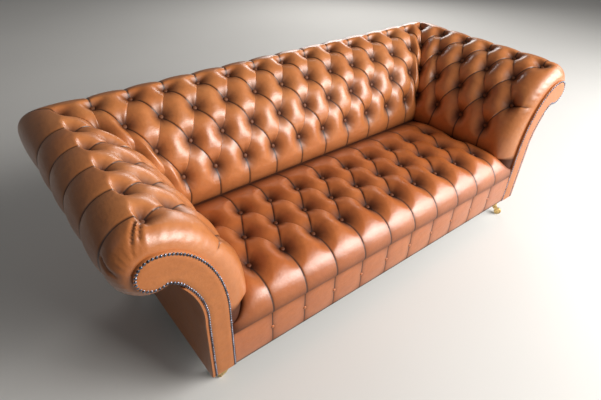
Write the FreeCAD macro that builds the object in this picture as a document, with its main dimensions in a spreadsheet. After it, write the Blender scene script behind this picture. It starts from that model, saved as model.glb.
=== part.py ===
import FreeCAD, Part
import math
import os
import Sketcher

# Deep-buttoned chesterfield sofa on four swivelling brass castors.
# Millimetres. X runs along the seat, Y from the front to the back, Z up from the floor.
# The origin is on the floor, below the middle of the whole sofa.

Vector = FreeCAD.Vector

# Driving dimensions. Heights are over the floor, depths run back from the front plane,
# and "out" is the distance from the line where the seat meets an arm or the back.
SIZES = {
    # seat
    "seat_width": 1417.0,
    "seat_depth": 572.0,
    "seat_line_height": 357.0,
    "seat_front_height": 372.0,
    "seat_rear_height": 353.0,
    "seam_height": 264.0,
    "seat_edge": 8.5,
    "seat_first_row": 140.0,
    "seat_row_pitch": 138.5,
    "tuft_rise": 30.0,
    # rolled arms and back
    "roll_out": 262.0,
    "roll_height": 658.0,
    "roll_radius": 116.0,
    "arm_first_button": 98.0,
    "arm_button_pitch": 142.0,
    # scroll-shaped facings and boards
    "facing_out": 72.0,
    "facing_spring_height": 390.0,
    "scroll_out": 268.0,
    "scroll_height": 647.5,
    "scroll_radius": 56.5,
    "shoulder_out": 198.0,
    "shoulder_height": 555.0,
    "shank_out": 152.0,
    "shank_height": 374.0,
    "front_thickness": 10.0,
    "nail_margin": 5.0,
    "nail_pitch": 10.8,
    "nail_radius": 4.6,
    "nail_height": 3.4,
    "pad_wall": 12.0,
    # outside covers
    "cover_thickness": 10.0,
    "border_rise": 5.0,
    # beech frame
    "base_height": 112.0,
    "rail_height": 116.0,
    "rail_thickness": 32.0,
    "board_thickness": 22.0,
    "side_rail_out": 100.0,
    "roll_rail": 50.0,
    "rear_board_depth": 596.0,
    "back_board_spread": 330.0,
    "cross_rail_spread": 250.0,
    "cross_rail_height": 88.0,
    "block_leg": 75.0,
    "stuffing_rail_height": 40.0,
    # seat platform
    "web_thickness": 2.0,
    "web_width": 50.0,
    "deck_thickness": 2.0,
    "dust_cover": 1.5,
    "dust_cover_inset": 4.0,
    # buttons
    "button_radius": 11.0,
    "button_height": 13.0,
    "corner_button_radius": 7.6,
    "border_button_radius": 7.0,
    # feet and castors
    "foot_out": 101.0,
    "foot_inset": 42.0,
    "leg_width": 42.0,
    "leg_taper": 3.0,
    "plate_height": 90.0,
    "plate_thickness": 3.0,
    "plate_width": 35.0,
    "boss_radius": 13.0,
    "boss_height": 60.0,
    "stem_radius": 5.0,
    "stem_length": 16.0,
    "collar_radius": 12.0,
    "collar_height": 11.0,
    "horn_width": 22.0,
    "horn_cheek": 3.0,
    "horn_boss": 6.5,
    "castor_trail": 26.0,
    "wheel_radius": 17.5,
    "wheel_width": 14.0,
    "axle_radius": 3.0,
    "axle_end": 1.2,
    # clearances
    "gap": 0.3,
    "running_gap": 0.06,
}

ROW_ANGLE = 18.85        # degrees of the inside curve from one row of buttons to the next
ROLL_START = 100.0       # where the roll takes over from the inside curve, degrees from outward
ROLL_END = -118.0        # where the roll tucks under, against the outside cover
ROWS = 4                 # rows of buttons on the back and the arms
ROLL_STEPS = 10          # facets round the outside of the roll
BACK_HALF_STEPS = 10     # half button pitches from the middle to a corner, at the seat line
ARM_HALF_STEPS = 6       # half button pitches from the first arm button to a corner, same line
SEAT_ROWS = 3
SEAT_HALF_STEPS = 10
CREASE = 0.35            # height of a crease between two buttons, as a share of the tuft rise
CHANNEL = 0.65           # the same for the straight pleats outside the diamonds
CORNER_LIFT = (6.3, 8.0, 5.3, 0.0)  # mm that the two pads push each row's corner button out
BUTTON_SIDES = 6         # sides of the small repeated pieces, kept plain
NAIL_SIDES = 5
COVER_POINTS = 6         # points on the flare of the hidden boards and outside covers
CASTOR_TURN = {"front_left": 111.0, "front_right": -46.0, "rear_left": 160.0, "rear_right": 12.0}

doc = FreeCAD.newDocument("chesterfield_sofa")
sheet = doc.addObject("Spreadsheet::Sheet", "sizes")
for row, (alias, value) in enumerate(SIZES.items(), start=1):
    sheet.set("A%d" % row, alias.replace("_", " "))
    sheet.set("B%d" % row, str(value))
    sheet.setAlias("B%d" % row, alias)
doc.recompute()


def size(alias):
    """A driving dimension, read back from the sheet in millimetres."""
    return float(sheet.get(alias))


half_seat = size("seat_width") / 2
button_pitch = 2 * (half_seat - size("seat_edge")) / SEAT_HALF_STEPS
gap = size("gap")
rise = size("tuft_rise")
floor_reach = size("seat_depth") + size("roll_out") + size("roll_radius")
front = -(floor_reach - size("nail_height")) / 2       # Y of the front plane
crease = front + size("seat_depth")                      # Y of the line between seat and back
rail_top = size("base_height") + size("rail_height")
deck_top = rail_top + size("web_thickness") + size("deck_thickness")
pad_foot = deck_top + gap
FRONT = "-(sizes.seat_depth + sizes.roll_out + sizes.roll_radius - sizes.nail_height) / 2"
RAIL_TOP = "sizes.base_height + sizes.rail_height"

nodes = []


def keep(shape_object, label, turn=None):
    """List an object as one piece of the sofa and give it the name of its file."""
    shape_object.Label = label
    nodes.append(shape_object)
    if turn is not None:
        shape_object.Placement.Rotation = FreeCAD.Rotation(Vector(0, 0, 1), turn)
    return shape_object


def bind(target, **formulas):
    """Tie properties to the sheet: x, y and z are the place, the rest are properties."""
    for name, formula in formulas.items():
        path = "Placement.Base." + name if name in ("x", "y", "z") else name
        target.setExpression(path, formula)


def box(label, length, width, height, x, y, z):
    """A straight piece of timber or a flat sheet, from formulas for its size and near corner."""
    piece = doc.addObject("Part::Box", label)
    bind(piece, Length=length, Width=width, Height=height, x=x, y=y, z=z)
    return keep(piece, label)


def feature(label, shape):
    """A piece whose shape comes from one of the surface functions below."""
    piece = doc.addObject("Part::Feature", label)
    piece.Shape = shape
    return keep(piece, label)


def origin_plane(body, role):
    """The body's own origin plane of that role."""
    return [plane for plane in body.Origin.OriginFeatures if plane.Role == role][0]


def sketch_on(body, name, role, edges):
    """A sketch on one of the body's origin planes, from a closed run of lines and arcs."""
    sketch = body.newObject("Sketcher::SketchObject", name)
    sketch.AttachmentSupport = [(origin_plane(body, role), "")]
    sketch.MapMode = "FlatFace"
    for edge in edges:
        sketch.addGeometry(edge, False)
    return sketch


def segments(points):
    """Straight sketch lines round a closed list of (across, up) points."""
    corners = [Vector(across, up, 0) for across, up in points]
    return [Part.LineSegment(a, b) for a, b in zip(corners, corners[1:] + corners[:1])]


def point_on(centre, radius, degrees):
    """The point at an angle on a circle in the (out, height) plane."""
    angle = math.radians(degrees)
    return centre[0] + radius * math.cos(angle), centre[1] + radius * math.sin(angle)


# Scroll outline of the arm fronts

scroll_centre = (size("scroll_out"), size("scroll_height"))


def scroll_curve(angle, inset):
    """Inner side of the scroll: a quarter ellipse from the straight shank to the top of the head."""
    across = size("scroll_out") - size("facing_out") - inset
    up = size("scroll_height") + size("scroll_radius") - size("facing_spring_height") - inset
    turn = math.radians(angle)
    return (size("scroll_out") - across * math.cos(turn),
            size("facing_spring_height") + up * math.sin(turn))


def bulge(start, end, sag):
    """The middle point of an arc that leaves the chord by sag, to the left of start to end."""
    run = math.hypot(end[0] - start[0], end[1] - start[1])
    normal = (-(end[1] - start[1]) / run, (end[0] - start[0]) / run)
    return (start[0] + end[0]) / 2 + normal[0] * sag, (start[1] + end[1]) / 2 + normal[1] * sag


def arc(start, middle, end):
    """A sketch arc through three (across, up) points."""
    return Part.Arc(Vector(*start, 0), Vector(*middle, 0), Vector(*end, 0))


def line(start, end):
    """A sketch line between two (across, up) points."""
    return Part.LineSegment(Vector(*start, 0), Vector(*end, 0))


def neck(shift, foot):
    """Outer side of the scroll from the shoulder down: an arc and the straight shank."""
    shoulder = (size("shoulder_out") + shift, size("shoulder_height"))
    shank = (size("shank_out") + shift, size("shank_height"))
    return [arc(shoulder, bulge(shoulder, shank, -16.0), shank), line(shank, (shank[0], foot))]


def scroll_run(inset, neck_shift, foot):
    """The scroll from its inner foot over the head to its outer foot, as lines and arcs."""
    radius = size("scroll_radius") - inset
    inner_foot = (size("facing_out") + inset, foot)
    spring = scroll_curve(0, inset)
    under = point_on(scroll_centre, radius, ROLL_END)
    shoulder = (size("shoulder_out") + neck_shift, size("shoulder_height"))
    side = point_on(scroll_centre, radius, -14)
    run = [line(inner_foot, spring)]
    run.append(arc(spring, scroll_curve(22.5, inset), scroll_curve(45, inset)))
    run.append(arc(scroll_curve(45, inset), scroll_curve(67.5, inset), scroll_curve(90, inset)))
    run.append(arc(scroll_curve(90, inset), point_on(scroll_centre, radius, 38), side))
    run.append(arc(side, point_on(scroll_centre, radius, -66), under))
    run.append(arc(under, bulge(under, shoulder, -6.0), shoulder))
    return run + neck(neck_shift, foot)


def scroll_points(inset, foot):
    """(out, height) corners of the same scroll as straight saw cuts, from foot to under the roll."""
    points = [(size("facing_out") + inset, foot)]
    points += [scroll_curve(angle, inset) for angle in (0, 22.5, 45, 67.5)]
    radius = size("scroll_radius") - inset
    points += [point_on(scroll_centre, radius, angle) for angle in (90, 38, -14, -66, ROLL_END)]
    return points


def sawn_run(inset, neck_shift, foot):
    """The scroll of a hidden board, every curve of it sawn as short straight cuts."""
    points = scroll_points(inset, foot)
    points.append((size("shoulder_out") + neck_shift, size("shoulder_height")))
    flare, shank = neck(neck_shift, foot)
    cuts = flare.discretize(Number=COVER_POINTS)
    cuts = [Part.LineSegment(a, b) for a, b in zip(cuts, cuts[1:])]
    return segments(points)[:-1] + cuts + [shank]


def scroll_body(label, inset, neck_shift, foot, thickness, sawn=False):
    """A flat board or panel with the scroll outline, its thickness running towards the front."""
    body = doc.addObject("PartDesign::Body", label)
    run = sawn_run(inset, neck_shift, foot) if sawn else scroll_run(inset, neck_shift, foot)
    outer_foot = (size("shank_out") + neck_shift, foot)
    run.append(line(outer_foot, (size("facing_out") + inset, foot)))
    sketch = sketch_on(body, label + "_outline", "XZ_Plane", run)
    slab = body.newObject("PartDesign::Pad", label + "_slab")
    slab.Profile = sketch
    bind(slab, Length=thickness)
    doc.recompute()
    return body


def mortise(body, label, depth):
    """A square through hole at the head of a scroll board, for the rail inside the roll."""
    reach = size("roll_rail") / 2 + gap
    out, height = scroll_centre
    corners = [(out - reach, height - reach), (out + reach, height - reach),
               (out + reach, height + reach), (out - reach, height + reach)]
    sketch = sketch_on(body, label + "_mortise", "XZ_Plane", segments(corners))
    hole = body.newObject("PartDesign::Pocket", label + "_hole")
    hole.Profile = sketch
    hole.Reversed = True
    bind(hole, Length=depth)
    doc.recompute()


def place_scroll(body, label, side, depth, thickness):
    """Stand a scroll piece on the right (+1) or left (-1) arm, its front face at depth."""
    bind(body, x="%d * sizes.seat_width / 2" % side)
    ahead = " + " + thickness if side > 0 else ""
    bind(body, y=FRONT + " + " + depth + ahead)
    keep(body, label, 0 if side > 0 else 180)


# Beech frame

box("front_rail", "sizes.seat_width + 2 * (sizes.facing_out + sizes.pad_wall - sizes.gap)",
    "sizes.rail_thickness", "sizes.rail_height",
    "-sizes.seat_width / 2 - sizes.facing_out - sizes.pad_wall + sizes.gap",
    FRONT + " + sizes.front_thickness + sizes.gap", "sizes.base_height")
box("back_rail", "sizes.seat_width + 2 * (sizes.side_rail_out - sizes.gap)",
    "sizes.rail_thickness", "sizes.rail_height",
    "-sizes.seat_width / 2 - sizes.side_rail_out + sizes.gap",
    FRONT + " + sizes.seat_depth + sizes.side_rail_out", "sizes.base_height")

BOARD_BACK = "sizes.front_thickness + sizes.gap + sizes.board_thickness + sizes.gap"
for side, hand in ((-1, "left"), (1, "right")):
    near = "sizes.seat_width / 2 + sizes.side_rail_out"
    far = "-(%s) - sizes.rail_thickness" % near
    box("side_rail_" + hand, "sizes.rail_thickness",
        "sizes.seat_depth + sizes.side_rail_out + sizes.rail_thickness - (%s)" % BOARD_BACK,
        "sizes.rail_height", near if side > 0 else far,
        FRONT + " + " + BOARD_BACK, "sizes.base_height")
    near = "sizes.seat_width / 2 + sizes.scroll_out - sizes.roll_rail / 2"
    far = "-(%s) - sizes.roll_rail" % near
    box("arm_roll_rail_" + hand, "sizes.roll_rail",
        "sizes.seat_depth + sizes.scroll_out + sizes.roll_rail / 2 - (%s)" % BOARD_BACK,
        "sizes.roll_rail", near if side > 0 else far,
        FRONT + " + " + BOARD_BACK, "sizes.scroll_height - sizes.roll_rail / 2")
    near = "sizes.seat_width / 2 + sizes.side_rail_out"
    far = "-(%s) - sizes.rail_thickness" % near
    box("arm_stuffing_rail_" + hand, "sizes.rail_thickness",
        "sizes.rear_board_depth - (%s) - sizes.gap" % BOARD_BACK, "sizes.stuffing_rail_height",
        near if side > 0 else far, FRONT + " + " + BOARD_BACK,
        RAIL_TOP + " + 3 * sizes.web_thickness")
    box("cross_rail_" + hand, "sizes.rail_thickness",
        "sizes.seat_depth + sizes.side_rail_out - sizes.front_thickness"
        " - sizes.rail_thickness - 3 * sizes.gap",
        "sizes.cross_rail_height", "%d * sizes.cross_rail_spread - sizes.rail_thickness / 2" % side,
        FRONT + " + sizes.front_thickness + sizes.rail_thickness + 2 * sizes.gap",
        "sizes.base_height")

box("back_roll_rail", "sizes.seat_width + 2 * sizes.scroll_out - sizes.roll_rail - 2 * sizes.gap",
    "sizes.roll_rail", "sizes.roll_rail",
    "-sizes.seat_width / 2 - sizes.scroll_out + sizes.roll_rail / 2 + sizes.gap",
    FRONT + " + sizes.seat_depth + sizes.scroll_out - sizes.roll_rail / 2",
    "sizes.scroll_height - sizes.roll_rail / 2")
box("back_stuffing_rail", "2 * (sizes.back_board_spread - sizes.gap)", "sizes.rail_thickness",
    "sizes.stuffing_rail_height", "-sizes.back_board_spread + sizes.gap",
    FRONT + " + sizes.seat_depth + sizes.side_rail_out", RAIL_TOP + " + 3 * sizes.web_thickness")


def corner_blocks():
    """Four glued triangular blocks in the corners of the base, one inside each rail joint."""
    leg = size("block_leg")
    outer = half_seat + size("side_rail_out") - gap
    near = front + size("front_thickness") + size("rail_thickness") + 2 * gap
    far = crease + size("side_rail_out") - gap
    blocks = []
    for side in (-1, 1):
        for depth, inward in ((near, 1), (far, -1)):
            corner = Vector(side * outer, depth, size("base_height"))
            along = corner - Vector(side * leg, 0, 0)
            back = corner + Vector(0, inward * leg, 0)
            face = Part.Face(Part.makePolygon([corner, along, back, corner]))
            blocks.append(face.extrude(Vector(0, 0, size("rail_height") * 0.6)))
    return Part.makeCompound(blocks)


feature("corner_blocks", corner_blocks())

for side, hand in ((-1, "left"), (1, "right")):
    label = "arm_front_board_" + hand
    board = scroll_body(label, size("pad_wall") + 2 * gap, -gap, size("base_height"),
                        "sizes.board_thickness", sawn=True)
    place_scroll(board, label, side, "sizes.front_thickness + sizes.gap", "sizes.board_thickness")
    label = "arm_rear_board_" + hand
    board = scroll_body(label, size("pad_wall") + 2 * gap, -gap, rail_top,
                        "sizes.board_thickness", sawn=True)
    mortise(board, label, "sizes.board_thickness")
    place_scroll(board, label, side, "sizes.rear_board_depth", "sizes.board_thickness")
    label = "back_board_" + hand
    board = scroll_body(label, size("pad_wall") + 2 * gap, -gap, rail_top,
                        "sizes.board_thickness", sawn=True)
    mortise(board, label, "sizes.board_thickness")
    inner_face = "" if side > 0 else " - sizes.board_thickness"
    bind(board, x="%d * sizes.back_board_spread" % side + inner_face,
         y=FRONT + " + sizes.seat_depth")
    keep(board, label, 90)


# Seat platform and dust cover

def webbing():
    """Straps from the front rail to the back rail, one between every two seat buttons."""
    pitch = button_pitch
    start = front + size("front_thickness") + gap
    reach = size("seat_depth") + size("side_rail_out") + size("rail_thickness")
    reach -= size("front_thickness") + gap
    straps = []
    for step in range(-(SEAT_HALF_STEPS // 2), SEAT_HALF_STEPS // 2 + 1):
        left = step * pitch - size("web_width") / 2
        corner = Vector(left, start, rail_top)
        straps.append(Part.makeBox(size("web_width"), reach, size("web_thickness"), corner))
    return Part.makeCompound(straps)


feature("seat_webbing", webbing())
box("seat_deck", "sizes.seat_width + 2 * (sizes.facing_out + sizes.pad_wall - sizes.gap)",
    "sizes.seat_depth + sizes.facing_out + sizes.pad_wall - sizes.front_thickness - 2 * sizes.gap",
    "sizes.deck_thickness",
    "-sizes.seat_width / 2 - sizes.facing_out - sizes.pad_wall + sizes.gap",
    FRONT + " + sizes.front_thickness + sizes.gap", RAIL_TOP + " + sizes.web_thickness")


def feet():
    """(name, x, y) of the four feet."""
    rear = crease + size("side_rail_out")
    spread = half_seat + size("foot_out")
    for across, hand in ((-spread, "left"), (spread, "right")):
        yield "front_" + hand, across, front + size("foot_inset")
        yield "rear_" + hand, across, rear


sheet_cut = doc.addObject("Part::Cut", "dust_cover")
cloth = doc.addObject("Part::Box", "dust_cloth")
bind(cloth, Length="sizes.seat_width + 2 * (sizes.shank_out - sizes.dust_cover_inset)",
     Width="sizes.seat_depth + sizes.shank_out - 2 * sizes.dust_cover_inset",
     Height="sizes.dust_cover",
     x="-sizes.seat_width / 2 - sizes.shank_out + sizes.dust_cover_inset",
     y=FRONT + " + sizes.dust_cover_inset", z="sizes.base_height - sizes.dust_cover")
holes = doc.addObject("Part::MultiFuse", "dust_cover_holes")
hole_list = []
for name, across, depth in feet():
    hole = doc.addObject("Part::Box", "leg_hole_" + name)
    reach = size("leg_width") / 2 + gap
    hole.Placement.Base = Vector(across - reach, depth - reach,
                                 size("base_height") - 2 * size("dust_cover"))
    bind(hole, Length="sizes.leg_width + 2 * sizes.gap", Width="sizes.leg_width + 2 * sizes.gap",
         Height="4 * sizes.dust_cover")
    hole_list.append(hole)
holes.Shapes = hole_list
sheet_cut.Base = cloth
sheet_cut.Tool = holes
keep(sheet_cut, "dust_cover")


# Deep-buttoned surfaces

def tuft(steps, row, first, last):
    """Height of the leather, 0 at a button and 1 at the crown of a diamond.

    Buttons stand where steps + row is even. The product of the two diagonal waves swells
    each diamond, and the larger wave alone lifts the crease between two buttons. Before the
    first and after the last row the creases run straight on as shallower pleats.
    """
    line_row = min(max(row, first), last)
    one = abs(math.sin(math.pi * (steps + line_row) / 2))
    two = abs(math.sin(math.pi * (steps - line_row) / 2))
    height = (1 - CREASE) * (one * two) ** 0.6 + CREASE * max(one, two)
    beyond = min(1.0, 2 * abs(row - line_row))
    return height + (1 - height) * CHANNEL * beyond


def polygon_face(points):
    """A flat face on the points, or nothing where they fall together."""
    kept = []
    for point in points:
        if not kept or point.distanceToPoint(kept[-1]) > 1e-6:
            kept.append(point)
    if len(kept) > 1 and kept[0].distanceToPoint(kept[-1]) <= 1e-6:
        kept.pop()
    if len(kept) < 3:
        return None
    return Part.Face(Part.makePolygon(kept + kept[:1]))


def closed_solid(faces):
    """One solid from flat faces that meet edge to edge."""
    shell = Part.makeShell([face for face in faces if face is not None])
    solid = Part.makeSolid(shell)
    if solid.Volume < 0:
        solid.reverse()
    return solid


def tufted_faces(grid, steps, rows):
    """Triangles of a buttoned surface. grid[i][j] is the point at steps[j], rows[i].

    Each cell is split along the crease that runs through it, button to button.
    """
    faces = []
    for i in range(len(rows) - 1):
        for j in range(len(steps) - 1):
            low, low_next = grid[i][j], grid[i][j + 1]
            high, high_next = grid[i + 1][j], grid[i + 1][j + 1]
            if (math.floor(steps[j]) + math.floor(rows[i])) % 2 == 0:
                faces.append(polygon_face([low, low_next, high_next]))
                faces.append(polygon_face([low, high_next, high]))
            else:
                faces.append(polygon_face([low, low_next, high]))
                faces.append(polygon_face([low_next, high_next, high]))
    return faces


roll_centre = (size("roll_out"), size("roll_height"))
button_radius_of_roll = size("roll_radius") - rise
roll_top = point_on(roll_centre, button_radius_of_roll, ROLL_START)
last_angle = math.radians(ROW_ANGLE * ROWS)
inside_reach = roll_top[0] / (1 - math.cos(last_angle))
inside_height = (roll_top[1] - size("seat_line_height")) / math.sin(last_angle)


def roll_point(row, height):
    """(out, height) of the leather of an arm or the back at a row, height times the rise proud.

    Rows 0 to 4 climb a quarter ellipse from the seat line, and the rest go round the roll.
    """
    if row <= 0:
        foot = pad_foot - size("seat_line_height")
        return 0.0, size("seat_line_height") - row * foot
    if row > ROWS:
        turn = (ROLL_START - ROLL_END) / ROLL_STEPS
        return point_on(roll_centre, button_radius_of_roll + rise * height,
                        ROLL_START - turn * (row - ROWS))
    angle = math.radians(ROW_ANGLE * row)
    normal = Vector(-inside_height * math.cos(angle), inside_reach * math.sin(angle), 0)
    normal.normalize()
    return (inside_reach * (1 - math.cos(angle)) + normal.x * rise * height,
            size("seat_line_height") + inside_height * math.sin(angle) + normal.y * rise * height)


def roll_height(steps, row):
    """Tuft height on an arm or the back, drawn in to nothing at the seat line."""
    if row <= 0:
        return 0.0
    height = tuft(steps, row, 1, ROWS)
    if row < 1:
        height *= math.sqrt(row)
    if row >= ROWS + ROLL_STEPS:
        return 1.0
    return height


def half_rows(first, last):
    """Rows at half steps, both ends included."""
    return [first + step / 2 for step in range(2 * (last - first) + 1)]


roll_rows = [-1.0] + half_rows(0, ROWS) + [ROWS + step + 1.0 for step in range(ROLL_STEPS)]
mitre_gap = gap / 1.5


def limit_steps(base, row):
    """Half pitches to the corner at a row: the corner follows a diagonal of the buttons."""
    return base + min(max(row, 0.0), float(ROWS))


def cavity():
    """(out, height) points of the hollow inside a pad, from its inner foot to under the roll."""
    return scroll_points(size("pad_wall"), pad_foot)


def back_pad():
    """The buttoned back: a padded shell between the two corner mitres."""
    pitch = button_pitch / 2
    reach = BACK_HALF_STEPS + ROWS
    steps = half_rows(-reach, reach)
    grid = []
    for row in roll_rows:
        limit = limit_steps(BACK_HALF_STEPS, row)
        line_of_points = []
        for step in steps:
            held = max(-limit, min(limit, step))
            out, height = roll_point(row, roll_height(held, row))
            x = abs(held) * pitch
            if abs(held) > limit - 2:
                corner = half_seat + out - mitre_gap
                inner = (limit - 2) * pitch
                x = inner + (corner - inner) * (abs(held) - limit + 2) / 2
            line_of_points.append(Vector(math.copysign(x, held), crease + gap + out, height))
        grid.append(line_of_points)
    faces = tufted_faces(grid, steps, roll_rows)
    inner = {}
    for side in (-1, 1):
        inner[side] = [Vector(side * (half_seat + out - mitre_gap), crease + gap + out, height)
                       for out, height in cavity()]
        column = [line_of_points[0 if side < 0 else -1] for line_of_points in grid]
        faces.append(polygon_face(column + inner[side][::-1]))
    for one, two in zip(range(len(inner[1]) - 1), range(1, len(inner[1]))):
        faces.append(polygon_face([inner[-1][one], inner[1][one], inner[1][two], inner[-1][two]]))
    faces.append(polygon_face(grid[0] + [inner[1][0], inner[-1][0]]))
    faces.append(polygon_face(grid[-1] + [inner[1][-1], inner[-1][-1]]))
    return closed_solid(faces)


def front_columns():
    """Depths of the first columns of an arm, where its leather rounds in to the facing."""
    cap = size("front_thickness") + gap
    whole = size("arm_first_button") - cap
    return [cap, cap + 0.16 * whole, cap + 0.4 * whole, cap + 0.68 * whole]


def rounding(depth):
    """0 at the facing and 1 from the first button on, along a quarter ellipse."""
    cap = front_columns()[0]
    share = min(1.0, max(0.0, (depth - cap) / (size("arm_first_button") - cap)))
    return math.sqrt(1 - (1 - share) ** 2)


def cap_point(row):
    """(out, height) on the facing's outline where the arm's leather ends."""
    if row <= 0:
        return size("facing_out"), roll_point(row, 0)[1]
    if row <= ROWS:
        return scroll_curve(90 * row / ROWS, 0)
    share = (row - ROWS) / ROLL_STEPS
    return point_on(scroll_centre, size("scroll_radius"), 90 - (90 - ROLL_END) * share)


def arm_point(depth, steps, row):
    """(out, height) of an arm's leather at a depth and a row."""
    height = roll_height(max(steps, 0.0), row)
    if steps < 0 and 0 < row < ROWS + ROLL_STEPS:
        height += (1 - height) * 0.85 * min(1.0, -1.5 * steps)
    crown = roll_point(row, height)
    edge = cap_point(row)
    share = rounding(depth)
    return (edge[0] + (crown[0] - edge[0]) * share, edge[1] + (crown[1] - edge[1]) * share)


def arm_pad(side):
    """A buttoned arm: a padded shell from the facing to the corner mitre."""
    pitch = size("arm_button_pitch") / 2
    first = size("arm_first_button")
    lead = [(depth - first) / pitch for depth in front_columns()]
    steps = lead + half_rows(0, ARM_HALF_STEPS + ROWS)
    grid = []
    for row in roll_rows:
        limit = limit_steps(ARM_HALF_STEPS, row)
        line_of_points = []
        for step in steps:
            held = min(limit, step)
            depth = first + held * pitch
            out, height = arm_point(depth, held, row)
            if held > limit - 2:
                corner = size("seat_depth") + out - mitre_gap
                inner = first + (limit - 2) * pitch
                depth = inner + (corner - inner) * (held - limit + 2) / 2
            line_of_points.append(Vector(side * (half_seat + out), front + depth, height))
        grid.append(line_of_points)
    faces = tufted_faces(grid, steps, roll_rows)
    near = [Vector(side * (half_seat + out), front + front_columns()[0], height)
            for out, height in cavity()]
    far = [Vector(side * (half_seat + out), crease + out - mitre_gap, height)
           for out, height in cavity()]
    faces.append(polygon_face([points[0] for points in grid] + near[::-1]))
    faces.append(polygon_face([points[-1] for points in grid] + far[::-1]))
    for one, two in zip(range(len(near) - 1), range(1, len(near))):
        faces.append(polygon_face([near[one], near[two], far[two], far[one]]))
    faces.append(polygon_face(grid[0] + [far[0], near[0]]))
    rounded = len(lead)
    for one in range(rounded):
        faces.append(polygon_face([near[-1], grid[-1][one], grid[-1][one + 1]]))
    faces.append(polygon_face([near[-1]] + grid[-1][rounded:] + [far[-1]]))
    return closed_solid(faces)


def seat_side(depth):
    """Half width of the seat at a depth: it fills the space between the arms."""
    out, height = arm_point(depth, 0.0, 0.0)
    return half_seat + out - 3 * gap


def seat_rows():
    """(depth, row) of the seat's lines: the lip's lie where the arm's rounded columns do."""
    first = size("seat_first_row")
    lip = [0.0] + front_columns() + [size("arm_first_button")]
    lines = [(depth, index / len(lip)) for index, depth in enumerate(lip)]
    lines += [(first + step * size("seat_row_pitch") / 2, 1 + step / 2)
              for step in range(2 * SEAT_ROWS - 1)]
    last = first + (SEAT_ROWS - 1) * size("seat_row_pitch")
    end = size("seat_depth") - gap
    return lines + [((last + end) / 2, SEAT_ROWS + 0.5), (end, SEAT_ROWS + 1.0)]


def seat_base(depth):
    """(height, normal) of the seat's button level: a rounded lip, then a gentle fall."""
    first = size("seat_first_row")
    if depth < first:
        high = size("seat_front_height") - size("seam_height")
        across = 1 - depth / first
        up = math.sqrt(1 - across ** 2)
        normal = Vector(0, -across / first, up / high)
        normal.normalize()
        return size("seam_height") + high * up, normal
    fall = (size("seat_front_height") - size("seat_rear_height")) / (size("seat_depth") - first)
    return size("seat_front_height") - fall * (depth - first), Vector(0, 0, 1)


def seat_point(step, depth, row):
    """A point of the seat's leather."""
    height = tuft(step, row, 1, SEAT_ROWS)
    if row < 1:
        height *= math.sin(math.pi / 2 * row) ** 0.6
    if row > SEAT_ROWS:
        height *= 1 - (row - SEAT_ROWS) ** 2
    base, normal = seat_base(depth)
    if abs(step) >= SEAT_HALF_STEPS:
        base = min(base, size("seat_line_height") - gap)
        return Vector(math.copysign(seat_side(depth), step), front + depth, base)
    x = step * button_pitch / 2
    return Vector(x, front + depth, base) + normal * (rise * height)


def seat_pad():
    """The fixed seat: buttoned on top, rounded over the front lip, flat below."""
    steps = half_rows(-SEAT_HALF_STEPS, SEAT_HALF_STEPS)
    lines = seat_rows()
    grid = [[seat_point(step, depth, row) for step in steps] for depth, row in lines]
    faces = tufted_faces(grid, steps, [row for depth, row in lines])
    seam = size("seam_height")
    sides = {}
    for side in (-1, 1):
        edge = [points[0 if side < 0 else -1] for points in grid]
        top = Vector(edge[1].x, edge[1].y, seam)
        foot = [Vector(point.x, point.y, pad_foot) for point in edge]
        faces.append(polygon_face([edge[0], edge[1], top]))
        faces.append(polygon_face([top, edge[1], edge[2], foot[2], foot[1]]))
        for one in range(2, len(edge) - 1):
            faces.append(polygon_face([edge[one], edge[one + 1], foot[one + 1], foot[one]]))
        sides[side] = (top, foot)
    left, right = sides[-1], sides[1]
    faces.append(polygon_face(grid[-1] + [right[1][-1], left[1][-1]]))
    faces.append(polygon_face(grid[0] + [right[0], left[0]]))
    faces.append(polygon_face([left[0], right[0], right[1][1], left[1][1]]))
    faces.append(polygon_face([left[1][1], right[1][1]] + right[1][2:] + left[1][:1:-1]))
    return closed_solid(faces)


def front_border():
    """The pleated band below the lip: gently swollen between its pleats."""
    steps = list(range(-SEAT_HALF_STEPS, SEAT_HALF_STEPS + 1))
    low = size("base_height")
    high = size("seam_height") - gap
    reach = half_seat + size("facing_out") - gap
    grid = []
    for share in (0.0, 0.18, 0.5, 0.82, 1.0):
        line_of_points = []
        for step in steps:
            swell = (step % 2 == 0) * math.sin(math.pi * share) ** 0.5
            x = step * button_pitch / 2
            if abs(step) == SEAT_HALF_STEPS:
                x = math.copysign(reach, step)
                swell = 0.0
            depth = size("border_rise") * (1 - swell)
            line_of_points.append(Vector(x, front + depth, low + (high - low) * share))
        grid.append(line_of_points)
    faces = tufted_faces(grid, steps, [0, 1, 2, 3, 4])
    back = front + size("front_thickness")
    corner = {(side, z): Vector(side * reach, back, z) for side in (-1, 1) for z in (low, high)}
    faces.append(polygon_face(grid[0] + [corner[1, low], corner[-1, low]]))
    faces.append(polygon_face(grid[-1] + [corner[1, high], corner[-1, high]]))
    faces.append(polygon_face([corner[-1, low], corner[1, low], corner[1, high], corner[-1, high]]))
    for side in (-1, 1):
        edge = [points[0 if side < 0 else -1] for points in grid]
        faces.append(polygon_face(edge + [corner[side, high], corner[side, low]]))
    return closed_solid(faces)


feature("seat_pad", seat_pad())
feature("front_border", front_border())
feature("back_pad", back_pad())
feature("arm_pad_left", arm_pad(-1))
feature("arm_pad_right", arm_pad(1))


# Outside covers

def cover_profile(place):
    """The outside cover's section as a wire, each (out, height) point put in space by place."""
    points = []
    for shift in (gap, gap + size("cover_thickness")):
        curve, shank = neck(shift, size("base_height"))
        side = [(point.x, point.y) for point in curve.discretize(Number=COVER_POINTS)]
        if side[0][1] > side[-1][1]:
            side.reverse()
        points.append([(side[0][0], size("base_height"))] + side)
    around = points[0] + points[1][::-1]
    corners = [place(*point) for point in around]
    return Part.makePolygon(corners + corners[:1])


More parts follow.
